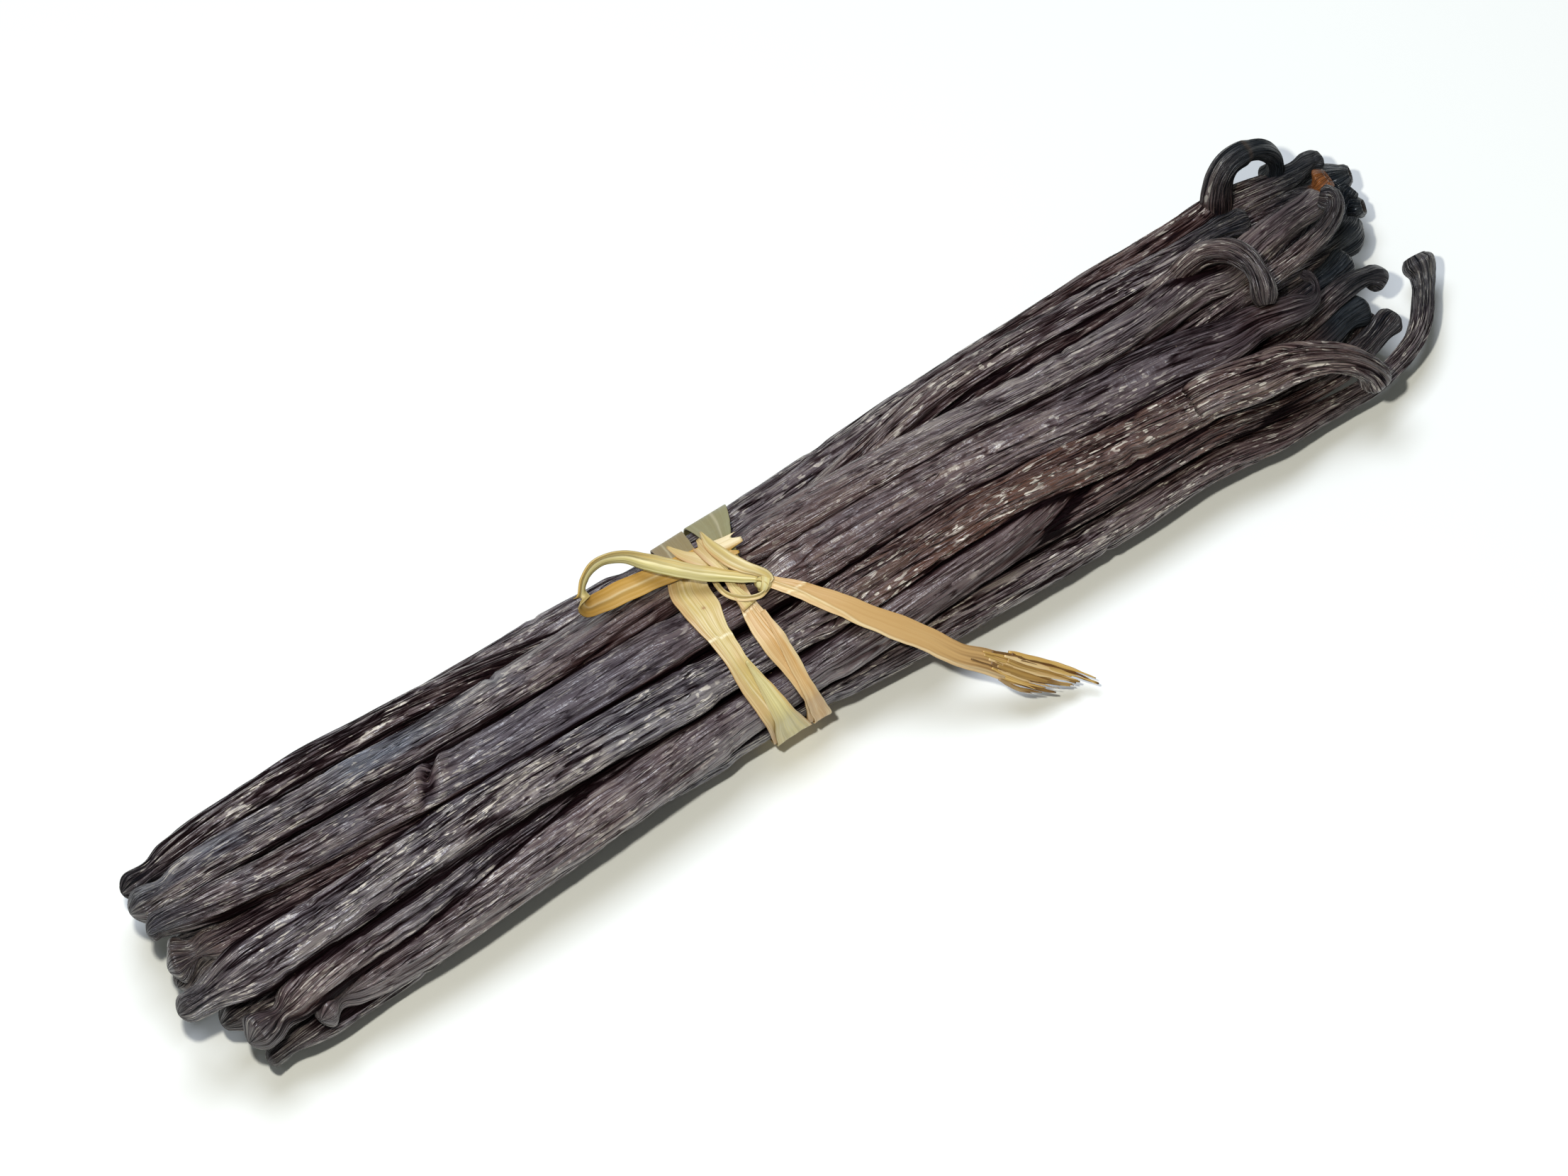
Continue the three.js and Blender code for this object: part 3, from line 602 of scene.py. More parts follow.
        "name": "pod_inner_low", "tip": [7.4, 6.5, 9],
        "angle": [320, 300, 302, 300, 320], "reach": [0.5, 0.4, 0.34, 0.4, 0.45], "wide": [4.8, 5, 5, 4.8, 4.4],
        "stem": [[168.6, 3.9, 10.4], [175.1, 3.2, 11.2], [180.1, 2.8, 11.4], [183.7, 3.6, 10.8], [185.4, 4.9, 9.8]],
        **hiddenStem, "stemLength": 13,
        "shade": 0.25,
    },
]
podForm = {
    "seed": (311, 17),  # of the first pod, and how much more each next one has
    "flatness": 0.84,
    "squareness": 2.6,
    "knobRadius": 1.9,
    "knobLength": 1.9,
    "neckRadius": 1.6,
    "bluntTaper": 11.0,
    "endTaper": (8, 3),  # from and to how far from the stem's end
    "flareReach": (2.8, 0.9),
    "endRound": 0.9,
    "scarDish": [(0.93, 0.14), (0.8, 0.18), (0.66, 0.06), (0.5, -0.2), (0.25, -0.32)],  # share of the rim, mm outward
    "scarColour": [0.0, 0.2, 0.5, 0.7, 0.7],
    "curvePlaces": [20, 34, 50, 68, 78, 87, 96, 108, 122, 136, 150],
    "tipClearance": 5.0,
    "finePods": 9,  # the first ones of the list, which show most
    "fine": (96, 0.55),  # points round the pod, mm between its rings
    "coarse": (40, 1.0),
    "endStep": 0.45,
    "sightBias": 0.55,  # how much closer the points are on the side that shows
    "twist": (0.12, 30),  # how much, and in how many mm it changes
    "wander": (0.14, 22),
    "warp": ((0.5, 16, 5), (0.2, 6, 9)),  # mm, over how many mm, how many times round
    "creases": 18,
    "creaseDepth": 0.5,
    "creaseWidth": (0.55, 1.4),
    "creaseWander": ((0.06, 38), (0.014, 11)),  # turns, over how many mm
    "creaseFade": 26,
    "creaseSwell": (0.25, 15),
    "wrinkles": {"coarse": (0.27, 0.8, 13.0, 6), "fine": (0.12, 0.38, 6.5, 10)},  # mm deep, across, along, fewest
    "crossWrinkle": 0.09,
    "lobes": ((0.14, 34, 4), (0.08, 12, 6)),
    "lump": ((0.17, 1.9, 4),),
    "tieX": (77.5, 92.5),
    "tieSqueeze": 0.42,
    "tieCalm": 0.6,  # how much of the relief the tie presses flat
    # what the skin's material reads: how high each point is in its wrinkles, less painted shade where it lies recessed,
    # then how brown it is, how much painted sky sheen it takes and how smooth it is
    "reliefDepth": 0.78,
    "skinHeight": 0.9,
    "highest": 1.2,
    "kinkContrast": 1.2,
    "touchReach": (0.05, 0.8),
    "sunkDepth": (1.0, 3.6),
    "sunkShade": 0.7,
    "stemward": (82, 116),  # between these x the pods turn warmer and lose most of their painted sky sheen
    "stemWarmth": 0.3,
    "stemSheenLoss": 0.85,
    "warmDrift": (0.25, 30),
    "smoothDrift": (0.2, 25),
    "darkTipReach": (1.5, 9),
    "jointDark": 0.75,
    "jointMm": 0.22,
    "rustFromEnd": (3.0, 2.2),
    "roll": 3.0,  # radius of the tube that the patterns are laid on, the same for all pods
    "patternShift": 40,  # mm along, from one pod to the next
    # over which distances from the tip and from the stem's end each of these comes and goes
    "plumpFade": ((4, 15), (40, 25)),
    "wanderFade": ((2, 15), (14, 2)),
    "sunkFade": ((6, 18), (35, 20)),
    "touchFade": ((4, 12), (26, 14)),
}


def podCentre(pod, x):
    x = np.atleast_1d(np.asarray(x, float))
    angle = np.radians(pod["angle"])
    across = alongStations(pod["reach"] * np.cos(angle), x)
    up = alongStations(pod["reach"] * np.sin(angle), x)
    halfWidth, halfHeight = sheafHalf(x)
    y = sheaf["axis"][0] + (halfWidth - sheaf["podInset"]) * across
    z = sheaf["axis"][1] + (halfHeight - sheaf["podInset"]) * up
    return np.stack([x, y, z], axis=-1)


def outwardAt(points):
    out = np.asarray(points, float) - np.array([0, *sheaf["axis"]])
    out[..., 0] = 0
    return unit(out)


def podSize(pod, x, distance, length):
    # half the pod's width and half its thickness
    form = podForm
    knobLength, stemLength = form["knobLength"], pod["stemLength"]
    neck = smoothstep(distance, knobLength, 2.5 * knobLength)
    knob = mixed(form["neckRadius"], form["knobRadius"], 1 - neck)
    half = mixed(knob, alongStations(pod["wide"], x) / 2, smoothstep(distance, knobLength, form["bluntTaper"]))
    leg = pod.get("leg", {"width": pod["stemWidth"], "fromEnd": 0})
    for width, far, near in (
        (leg["width"], stemLength + pod["stemTaper"], stemLength - 3),
        (pod["stemWidth"], leg["fromEnd"] + 0.4, leg["fromEnd"] - 0.9),
        (pod.get("endWidth", pod["stemWidth"]), *form["endTaper"]),
    ):
        half = mixed(half, width / 2, nearEnd(distance, length, far, near))
    half = half + pod["flare"] * nearEnd(distance, length, *form["flareReach"])
    nose = np.minimum(1, distance / knobLength)
    rim = np.clip((distance - length + form["endRound"]) / form["endRound"], 0, 1)
    half = half * np.sqrt(1 - (1 - nose) ** 2) * np.sqrt(1 - 0.45 * rim**2)
    stemTaper = (stemLength + pod["stemTaper"], stemLength)
    bodyShare = fades(distance, length, (knobLength, form["bluntTaper"]), stemTaper)
    return half, half * mixed(1, form["flatness"], bodyShare)


def podFacing(pod, centre, ahead, distance, length):
    # which way the flatter side of the pod faces, ring by ring: outer pods follow the sheaf up to their stems
    bodyEnd = length - pod["stemLength"] - pod["stemTaper"] if pod["reach"][2] > 0.8 else 0
    face = outwardAt(podCentre(pod, stations[0]))[0]
    out = outwardAt(centre)
    facing = []
    for i, step in enumerate(np.diff(distance, prepend=0)):
        if distance[i] < bodyEnd:
            face = mixed(face, out[i], 1 - 0.5 ** (step / 10))
        face = unit(face - face.dot(ahead[i]) * ahead[i])
        facing.append(face)
    return np.array(facing)


def podRelief(pod, draw, distance, along, around, girth, length):
    # how far each point of the skin stands from the plain form, in millimetres
    form = podForm
    warp = layeredNoise(draw, along, around, form["warp"])
    bent = around + warp / girth[:, None]
    deepest = 0.0
    for k in range(form["creases"]):
        drift = sum(turns * driftNoise(draw, distance, cell) for turns, cell in form["creaseWander"])
        place = (k + draw.uniform(0, 0.8)) / form["creases"] + drift
        fade = smoothstep(driftNoise(draw, distance, form["creaseFade"]), -0.9, 1.0)
        depth = form["creaseDepth"] * pod["furrows"] * fade
        width = mixed(*form["creaseWidth"], draw.uniform())
        swell, cell = form["creaseSwell"]
        width = width * (1 + swell * driftNoise(draw, distance, cell))
        away = np.abs((bent - place[:, None] + 0.5) % 1 - 0.5) * girth[:, None]
        cut = depth[:, None] * np.clip(1 - away / np.maximum(0.35, width)[:, None], 0, 1) ** 2
        deepest = deepest + cut**4
    relief = -(deepest**0.25)
    for which, (high, across, lengthwise, fewest) in form["wrinkles"].items():
        cells = max(fewest, round(float(np.median(girth)) / across))
        ridges = np.minimum(0.6, np.abs(skinNoise(draw, along, bent, lengthwise, cells)) - 0.5)
        relief = relief + high * (pod["furrows"] if which == "coarse" else 1) * ridges
    cross = np.minimum(0, skinNoise(draw, along + 0.5 * warp, around, 0.9, 6) + 0.3)
    relief = relief + form["crossWrinkle"] * cross * smoothstep(skinNoise(draw, along, around, 9, 3), 0.2, 1.2)
    lobes = layeredNoise(draw, along, around, form["lobes"])
    # both are calmer at the tip, on the stem and at the scar; the ends are knobbly instead
    fromTip = smoothstep(distance, 0.8, 12)[:, None]
    onStem = nearEnd(distance, length, pod["stemLength"] + 6, pod["stemLength"] - 4)
    fromStem = ((1 - 0.45 * onStem) * (1 - 0.8 * nearEnd(distance, length, 2.5, 1)))[:, None]
    atTip = smoothstep(distance, 0.2, 1.6) * (1 - smoothstep(distance, 4, 10))
    atStemEnd = nearEnd(distance, length, 7, 2) * (1 - 0.6 * nearEnd(distance, length, 1.2, 0))
    knobbly = (atTip + atStemEnd) * (1 + 0.8 * (1 - smoothstep(distance, 3, 9)))
    lumps = pod["lumps"] * layeredNoise(draw, along, around, form["lump"]) * knobbly[:, None]
    return relief * (0.3 + 0.7 * fromTip) * fromStem, lobes * fromTip * fromStem + lumps


def podKinks(pod, draw, distance, along, around, x):
    # creases across the pod, each with a soft swelling on either side of it
    kinks = 0 * along
    outer = 0.1 + 0.9 * np.clip(np.sin(2 * math.pi * around), 0, 1)
    for place, depth, slant, width in pod["kinks"]:
        at = np.interp(place, x, distance)
        away = along - at - slant * (around - 0.25) - 0.5 * skinNoise(draw, along, around, 2.5, 7)
        away = np.abs(away / width)
        patchy = np.clip(0.6 + 0.45 * skinNoise(draw, along, around, 6, 5), 0, 1)
        swelling = 0.35 * np.exp(-((away - 2.2) ** 2) / 2)
        kinks = kinks + depth * outer * patchy * (swelling - np.exp(-(away**1.5)))
    return kinks


def podSections(x):
    # the pods cut across at x: their middles, half widths, half thicknesses and facings
    centres = np.array([podCentre(pod, x)[0] for pod in podList])
    halves = np.array([float(alongStations(pod["wide"], x)) / 2 for pod in podList])
    return centres, halves, halves * podForm["flatness"], outwardAt(centres)


def tightReach(x, leafGap=0.3):
    # how far from the sheaf's axis something pulled tight round the pods lies at x, for each degree round it
    centres, halves, flats, facings = podSections(x)
    angles = np.radians(np.arange(360))
    normals = np.stack([np.cos(angles), np.sin(angles)], axis=-1)
    out = (centres[:, 1:] - sheaf["axis"]) @ normals.T
    facing = facings[:, 1:] @ normals.T
    across = np.sqrt(np.clip(1 - facing**2, 0, 1))
    support = np.max(out + np.hypot(flats[:, None] * facing, halves[:, None] * across), axis=0)
    reach = np.full(360, np.inf)
    for turned in range(-60, 61, 2):
        reach = np.minimum(reach, (np.roll(support, -turned) + leafGap) / math.cos(math.radians(turned)))
    return reach


for pod in podList:
    for key, value in usual.items():
        pod.setdefault(key, value)
hullX = np.arange(10.0, 161.0, 3.0)
hullReach = np.array([tightReach(x, leafGap=0.0) for x in hullX])


def depthInside(points):
    # how deep points lie below a sheet pulled tight round the sheaf
    y, z = points[..., 1] - sheaf["axis"][0], points[..., 2] - sheaf["axis"][1]
    turned = np.degrees(np.arctan2(z, y)) % 360
    row = np.clip(np.round((points[..., 0] - hullX[0]) / (hullX[1] - hullX[0])).astype(int), 0, len(hullX) - 1)
    return hullReach[row, np.floor(turned).astype(int) % 360] - np.hypot(y, z)


def touchShare(pod, points):
    # how nearly each point touches a neighbouring pod, 0 to 1
    x = points[:, 0, 0]
    nearest = np.full(points.shape[:2], 9.0)
    for other in podList:
        if other is pod:
            continue
        centre = podCentre(other, x)
        half = alongStations(other["wide"], x)[:, None] / 2
        flat = half * podForm["flatness"]
        face = outwardAt(centre)
        offset = points[..., 1:] - centre[:, None, 1:]
        out = offset[..., 0] * face[:, None, 1] + offset[..., 1] * face[:, None, 2]
        side = offset[..., 0] * face[:, None, 2] - offset[..., 1] * face[:, None, 1]
        power = podForm["squareness"]
        gap = (((np.abs(side) / half) ** power + (np.abs(out) / flat) ** power) ** (1 / power) - 1) * flat
        nearest = np.minimum(nearest, gap)
    return 1 - smoothstep(nearest, *podForm["touchReach"])


def podRings(pod, step):
    # the middle line of a pod and the distances along it of its rings, closer together at both ends
    form = podForm
    places = [podCentre(pod, x)[0] for x in form["curvePlaces"] if x > pod["tip"][0] + form["tipClearance"]]
    line = smoothCurve([pod["tip"], *places, *pod["stem"]])
    length = lengthsAlong(line)[-1]
    nose = form["knobLength"] * (1 - np.cos(np.linspace(0.06, 1, 10) * math.pi / 2))
    body = [form["knobLength"]]
    while body[-1] < length - 1:
        atEnd = body[-1] < 12 or body[-1] > length - pod["stemLength"] - 4
        body.append(body[-1] + (min(step, form["endStep"]) if atEnd else step))
    return line, length, np.concatenate([nose, body[1:-1], length - 1 + np.linspace(0, 1, 6)])


def podPiece(pod, index):
    form = podForm
    seed, seedStep = form["seed"]
    draw = np.random.default_rng(seed + seedStep * index)
    sides, step = form["fine" if index < form["finePods"] else "coarse"]
    line, length, distance = podRings(pod, step)
    centre, ahead = placesAt(line, distance)
    x = centre[:, 0]
    face = podFacing(pod, centre, ahead, distance, length)
    side = np.cross(ahead, face)
    plump = mixed(1, pod["plump"], fades(distance, length, *form["plumpFade"]))
    half, flat = (size * plump for size in podSize(pod, x, distance, length))
    girth = 2 * math.pi * np.sqrt((half**2 + flat**2) / 2)
    turns = (np.arange(sides) + 0.5)[None, :] / sides
    turns = turns - form["sightBias"] / (2 * math.pi) * np.sin(2 * math.pi * (turns - 0.25))
    along = distance[:, None] + 0 * turns
    around = turns + 0 * along
    relief, lobes = podRelief(pod, draw, distance, along, around, np.maximum(girth, 3), length)
    kinks = podKinks(pod, draw, distance, along, around, x)
    low, high = form["tieX"]
    underTie = smoothstep(x, low - 2, low + 1) * (1 - smoothstep(x, high - 1, high + 2))
    out = (relief + lobes) * (1 - form["tieCalm"] * underTie)[:, None] + kinks - form["tieSqueeze"] * underTie[:, None]

    # its rings: a squarish oval, pushed out by the relief and let wander a little from its middle line
    twist, cell = form["twist"]
    turn = 2 * math.pi * turns + twist * driftNoise(draw, distance, cell)[:, None]
    c, s = np.cos(turn), np.sin(turn)
    normal = unit(np.stack([c / half[:, None], s / flat[:, None]], axis=-1))
    power = 2 / form["squareness"]
    wide = half[:, None] * np.sign(c) * np.abs(c) ** power + out * normal[..., 0]
    thick = flat[:, None] * np.sign(s) * np.abs(s) ** power + out * normal[..., 1]
    wander, cell = form["wander"]
    shift = wander * np.stack([driftNoise(draw, distance, cell), driftNoise(draw, distance, cell)], axis=-1)
    shift = shift * fades(distance, length, *form["wanderFade"])[:, None]
    wide, thick = wide + shift[:, :1], thick + shift[:, 1:]
    skin = centre[:, None, :] + wide[..., None] * side[:, None, :] + thick[..., None] * face[:, None, :]
    # the scar where the pod was picked: a rounded rim with a shallow dish in it
    rim = skin[-1] - centre[-1]
    dish = np.array([centre[-1] + rim * scale + ahead[-1] * push for scale, push in form["scarDish"]])
    rings = np.concatenate([skin, dish])
    points = np.vstack([rings.reshape(-1, 3), centre[0] - ahead[0] * distance[0], centre[-1] - ahead[-1] * 0.35])
    points[:, 2] = np.maximum(points[:, 2], 0.0)
    quads, triangles = tubeFaces(len(rings), sides)

    def toPoints(values, first, last):
        # the dish has the values of the last ring; first and last are those of the two end points
        values = values + 0 * along
        grown = np.concatenate([values, np.repeat(values[-1:], len(dish), axis=0)])
        return np.concatenate([grown.reshape(-1), [first, last]])

    # what its material reads at each point
    # painted shade: darker where the skin lies deep inside the sheaf
    sunk = smoothstep(depthInside(skin), *form["sunkDepth"]) * fades(distance, length, *form["sunkFade"])[:, None]
    # painted shade where the skin touches a neighbouring pod
    contactShade = pod["contactShading"] * touchShare(pod, skin) * fades(distance, length, *form["touchFade"])[:, None]
    shade = np.interp(x, stations, np.broadcast_to(pod["shade"], len(stations)))[:, None]
    # its height sets its tone, so furrows and kinks come out darker: partly the skin's own colour, partly painted shade
    height = form["skinHeight"] + (relief + kinks * form["kinkContrast"]) / form["reliefDepth"]
    height = np.clip(height, 0, form["highest"]) - shade - form["sunkShade"] * sunk
    stemward = smoothstep(x, *form["stemward"])[:, None]
    amount, cell = form["warmDrift"]
    drift = amount * driftNoise(draw, distance, cell)[:, None]
    warm = np.clip(pod["warm"] + form["stemWarmth"] * stemward + drift, 0, 1)
    lit = 1.4 - 2.4 * np.abs(turns - 0.36)  # painted sky sheen: strongest on the side that the sky light falls on
    skySheen = np.clip(pod["skySheen"] * (1 - form["stemSheenLoss"] * stemward) * lit, 0, 1)
    amount, cell = form["smoothDrift"]
    smooth = np.clip(pod["smooth"] + amount * driftNoise(draw, distance, cell)[:, None], 0, 1)
    darkEnd = nearEnd(distance, length, pod["darkEndLength"], 0.4 * pod["darkEndLength"])
    darkTip = pod["darkTip"] * (1 - smoothstep(distance, *form["darkTipReach"]))
    tip = np.maximum(darkTip, pod["darkEnd"] * darkEnd)[:, None]
    joint = 0.0 * distance
    if "leg" in pod:
        joint = form["jointDark"] * np.exp(-(((distance - length + pod["leg"]["fromEnd"]) / form["jointMm"]) ** 2))
    scar = np.repeat(np.concatenate([joint, form["scarColour"]]), sides)
    patchy = np.clip(0.85 + 0.6 * skinNoise(draw, along, around, 0.9, 6), 0, 1)
    rust = pod["rust"] * nearEnd(along, length, *form["rustFromEnd"]) * patchy
    start = form["patternShift"] * index
    straight = np.stack([along + start, form["roll"] * np.cos(turn), form["roll"] * np.sin(turn)], axis=-1)
    straight = np.concatenate([straight, np.repeat(straight[-1:], len(dish), axis=0)]).reshape(-1, 3)
    straight = np.vstack([straight, [start, 0, 0], [start + length, 0, 0]])
    values = {
        "ridge": toPoints(height, 0.8, 0.5),
        "warm": toPoints(warm, 0.2, 0.2),
        "skySheen": toPoints(skySheen, 0.5, 0.5),
        "smooth": toPoints(smooth, 0.5, 0.5),
        "contactShade": toPoints(contactShade, 0, 0),
        "tip": toPoints(tip, 0.8, 0.8),
        "scar": np.concatenate([scar, [0, 0.7]]),
        "rust": toPoints(rust, 0, rust[-1, 0]),
    }
    meshFrom(pod["name"], points, quads, triangles, values, {"straight": straight}, podSkinMaterial, "pods", "pod_skin")


core = {
    "inset": 4.4,
    "from": 10.0,
    "to": 158.0,
    "endReach": 0.6,
    "endRound": 8.0,
    "flutes": 7,
    "fluteDepth": 0.03,
    "sides": 48,
    "step": 2.0,
}


def corePiece(look):
    # the inside of the sheaf, seen only through the gaps between pods; it is painted dark as shade
    xs = np.arange(look["from"], look["to"] + 0.1, look["step"])
    ends = np.minimum(1, np.minimum(xs - look["from"], look["to"] - xs) / look["endRound"])
    reach = mixed(look["endReach"], 1, np.sqrt(1 - (1 - ends) ** 2))
    halfWidth, halfHeight = sheafHalf(xs)
    turn = 2 * math.pi * np.arange(look["sides"]) / look["sides"]
    fluted = 1 + look["fluteDepth"] * np.cos(look["flutes"] * turn)
    y = sheaf["axis"][0] + ((halfWidth - look["inset"]) * reach)[:, None] * np.cos(turn) * fluted
    z = sheaf["axis"][1] + ((halfHeight - look["inset"]) * reach)[:, None] * np.sin(turn) * fluted
    rings = np.stack([xs[:, None] + 0 * y, y, z], axis=-1)
    points = np.vstack([rings.reshape(-1, 3), [xs[0], *sheaf["axis"]], [xs[-1], *sheaf["axis"]]])
    quads, triangles = tubeFaces(len(xs), look["sides"])
    nothing = np.zeros(len(points))
    values = {key: nothing for key in ("ridge", "warm", "skySheen", "smooth", "tip", "scar", "rust")}
    # the core takes full painted shade, so it shows in the darkest tone
    values["contactShade"] = nothing + 1
    meshFrom("pod_core", points, quads, triangles, values, {"straight": points}, podSkinMaterial, "pods", "pod_skin")


corePiece(core)
for i, pod in enumerate(podList):
    podPiece(pod, i)
print(len(podList), "pods laid")

# The tie is one strip of dried leaf wound twice round the waist, knotted, with half a bow and a long loose end.
leafLook = {
    "patterns": {  # mm across the strip, mm along it, detail
        "fibre": (0.16, 9.0, 2.0),
        "vein": (0.36, 22.5, 1.0),
        "blotch": (3.5, 5.6, 3.0),
    },
    "bumps": {"fibre": 0.05, "vein": 0.1},  # mm
}


def driedLeaf(name, colours, look):
    # Dried leaf blade: a thin straw with parallel veins, pleated and split lengthwise as it dried,
    # so it is streaked along its length, a little waxy, and darker where it was bent or torn.
    material, tree = newMaterial(name)
    kept, pattern = {}, {}
    for attribute in ("strip", "across", "far", "stain", "fold"):
        source = addNode(tree, "ShaderNodeAttribute", {"attribute_name": attribute})
        kept[attribute] = (source, "Vector" if attribute == "strip" else "Fac")
    for which, (across, along, detail) in look["patterns"].items():
        scale = (1 / along, 1 / across, 1 / across)
        stretched = addNode(tree, "ShaderNodeVectorMath", {"operation": "MULTIPLY", 1: scale}, {0: kept["strip"]})
        streaks = addNode(
            tree, "ShaderNodeTexNoise", {"Scale": 1.0, "Detail": detail, "Roughness": 0.55}, {"Vector": (stretched, 0)}
        )
        pattern[which] = (streaks, "Fac")
    breadth = addNode(tree, "ShaderNodeValToRGB", links={"Fac": kept["across"]})
    setRamp(breadth, colours["breadth"])
    surface = (breadth, "Color")
    for colour, source, low, high, most in (
        ("vein", pattern["vein"], 0.44, 0.64, 0.6),
        ("fibre", pattern["fibre"], 0.48, 0.66, 0.65),
        ("blotch", pattern["blotch"], 0.52, 0.72, 0.5),
        # far: a second colour over the parts each strip gives; on the tail it is painted shade
        ("far", kept["far"], 0.0, 1.0, 0.8),
        ("crease", kept["fold"], 0.0, 1.0, 1.0),
        ("stain", kept["stain"], 0.0, 1.0, 1.0),
    ):
        share = addNode(
            tree, "ShaderNodeMapRange", {"From Min": low, "From Max": high, "To Max": most}, {"Value": source}
        )
        tinted = addNode(
            tree, "ShaderNodeMix", {"data_type": "RGBA", 7: toLinear(colours[colour])}, {0: (share, 0), 6: surface}
        )
        surface = (tinted, 2)
    normal = {}
    for which, depth in look["bumps"].items():
        bump = addNode(
            tree, "ShaderNodeBump", {"Strength": 0.5, "Distance": depth / 1000}, {"Height": pattern[which], **normal}
        )
        normal = {"Normal": (bump, 0)}
    blade = addNode(
        tree, "ShaderNodeBsdfPrincipled", {"Roughness": 0.48, "IOR": 1.45, "Coat Weight": 0.12, "Coat Roughness": 0.3},
        {"Base Color": surface, **normal},
    )
    addNode(tree, "ShaderNodeOutputMaterial", links={"Surface": (blade, 0)})
    return material


leafFinishes = {
    "paleStraw": {
        "breadth": [(0.0, "#bb9260"), (0.14, "#c1a069"), (0.3, "#c4ac6c"), (0.7, "#c3ac6a"), (1.0, "#cab77d")],
        "far": "#776338", "vein": "#b09866", "fibre": "#ddcc9d", "blotch": "#c9a475", "crease": "#efe3c0",
        "stain": "#8a4a33",
    },
    "foldStraw": {
        "breadth": [(0.0, "#baa468"), (0.15, "#ccba7c"), (0.5, "#d6ca8e"), (0.85, "#d0bd7c"), (1.0, "#bc955a")],
        "far": "#a59b6c", "vein": "#ab9d6b", "fibre": "#d9cda2", "blotch": "#bbab78", "crease": "#e4dcb8",
        "stain": "#8a6a42",
    },
    "bowStraw": {
        # lighter along the strip's middle and darker toward its rolled edges: painted highlight and painted shade
        "breadth": [(0.0, "#aa9e60"), (0.35, "#bcae6e"), (0.5, "#e2d49c"), (0.65, "#d2bc7a"), (1.0, "#c8a357")],
        "far": "#b4832b", "vein": "#978a50", "fibre": "#ddd2a6", "blotch": "#b9ab78", "crease": "#efe6c4",
        "stain": "#7f5a22",
    },
    "pinkTan": {
        "breadth": [(0.0, "#cfae7c"), (0.3, "#d0ab76"), (0.55, "#bf9356"), (0.68, "#c6a06a"), (1.0, "#d0bc90")],
        "far": "#797b52", "vein": "#b9905c", "fibre": "#e2ca9c", "blotch": "#c49864", "crease": "#f0dfbc",
        "stain": "#8c5530",
    },
    "goldenTan": {
        "breadth": [(0.0, "#c19a4e"), (0.25, "#c8a25a"), (0.7, "#c49c54"), (1.0, "#a87e38")],
        "far": "#cdc095", "vein": "#83602a", "fibre": "#dfc080", "blotch": "#b88a40", "crease": "#dcc188",
        "stain": "#5c3a12",
    },
    "tailTan": {
        "breadth": [(0.0, "#d2b283"), (0.3, "#d6b985"), (0.7, "#d0ae78"), (1.0, "#c7a26a")],
        # its far colour is painted shade on the tail's facet beyond the fold
        "far": "#c0975f", "vein": "#a98350", "fibre": "#e0c695", "blotch": "#c2965c", "crease": "#f0e0b8",
        "stain": "#603c12",
    },
}
leafSkins = {}
for finish, colours in leafFinishes.items():
    leafSkins[finish] = driedLeaf("driedLeaf" + finish[0].upper() + finish[1:], colours, leafLook)
print("leaf finishes mixed")


def splitFaces(rows, columns, closed):
    # faces of a thin strip: its upper side, its under side and its edges
    total = rows * columns
    r, k = np.arange(rows if closed else rows - 1), np.arange(columns - 1)
    here, there = r * columns, (r + 1) % rows * columns
    first, second = here[:, None] + k, there[:, None] + k
    upper = np.stack([first, second, second + 1, first + 1], axis=-1)
    low = np.stack([here, here + total, there + total, there], axis=-1)
    high = np.stack([there, there + total, here + total, here], axis=-1) + columns - 1
    parts = [upper.reshape(-1, 4), (upper + total)[..., ::-1].reshape(-1, 4), low, high]
    if not closed:
        last = (rows - 1) * columns
        parts.append(np.stack([k, k + 1, k + 1 + total, k + total], axis=-1))
        parts.append(np.stack([k + 1, k, k + total, k + 1 + total], axis=-1) + last)
    return np.vstack(parts)


leafForm = {
    "thickness": 0.2,
    "pleat": 0.03,
    "pleatMm": 0.8,
    "fibre": 0.014,
    "fibreMm": 0.16,
    "toothMm": 0.4,
    "edgeWobble": 0.05,
    "seamMm": 6,
    "columnMm": 0.11,
    "columns": (8, 46),  # fewest and most
    "rowMm": 0.35,
}


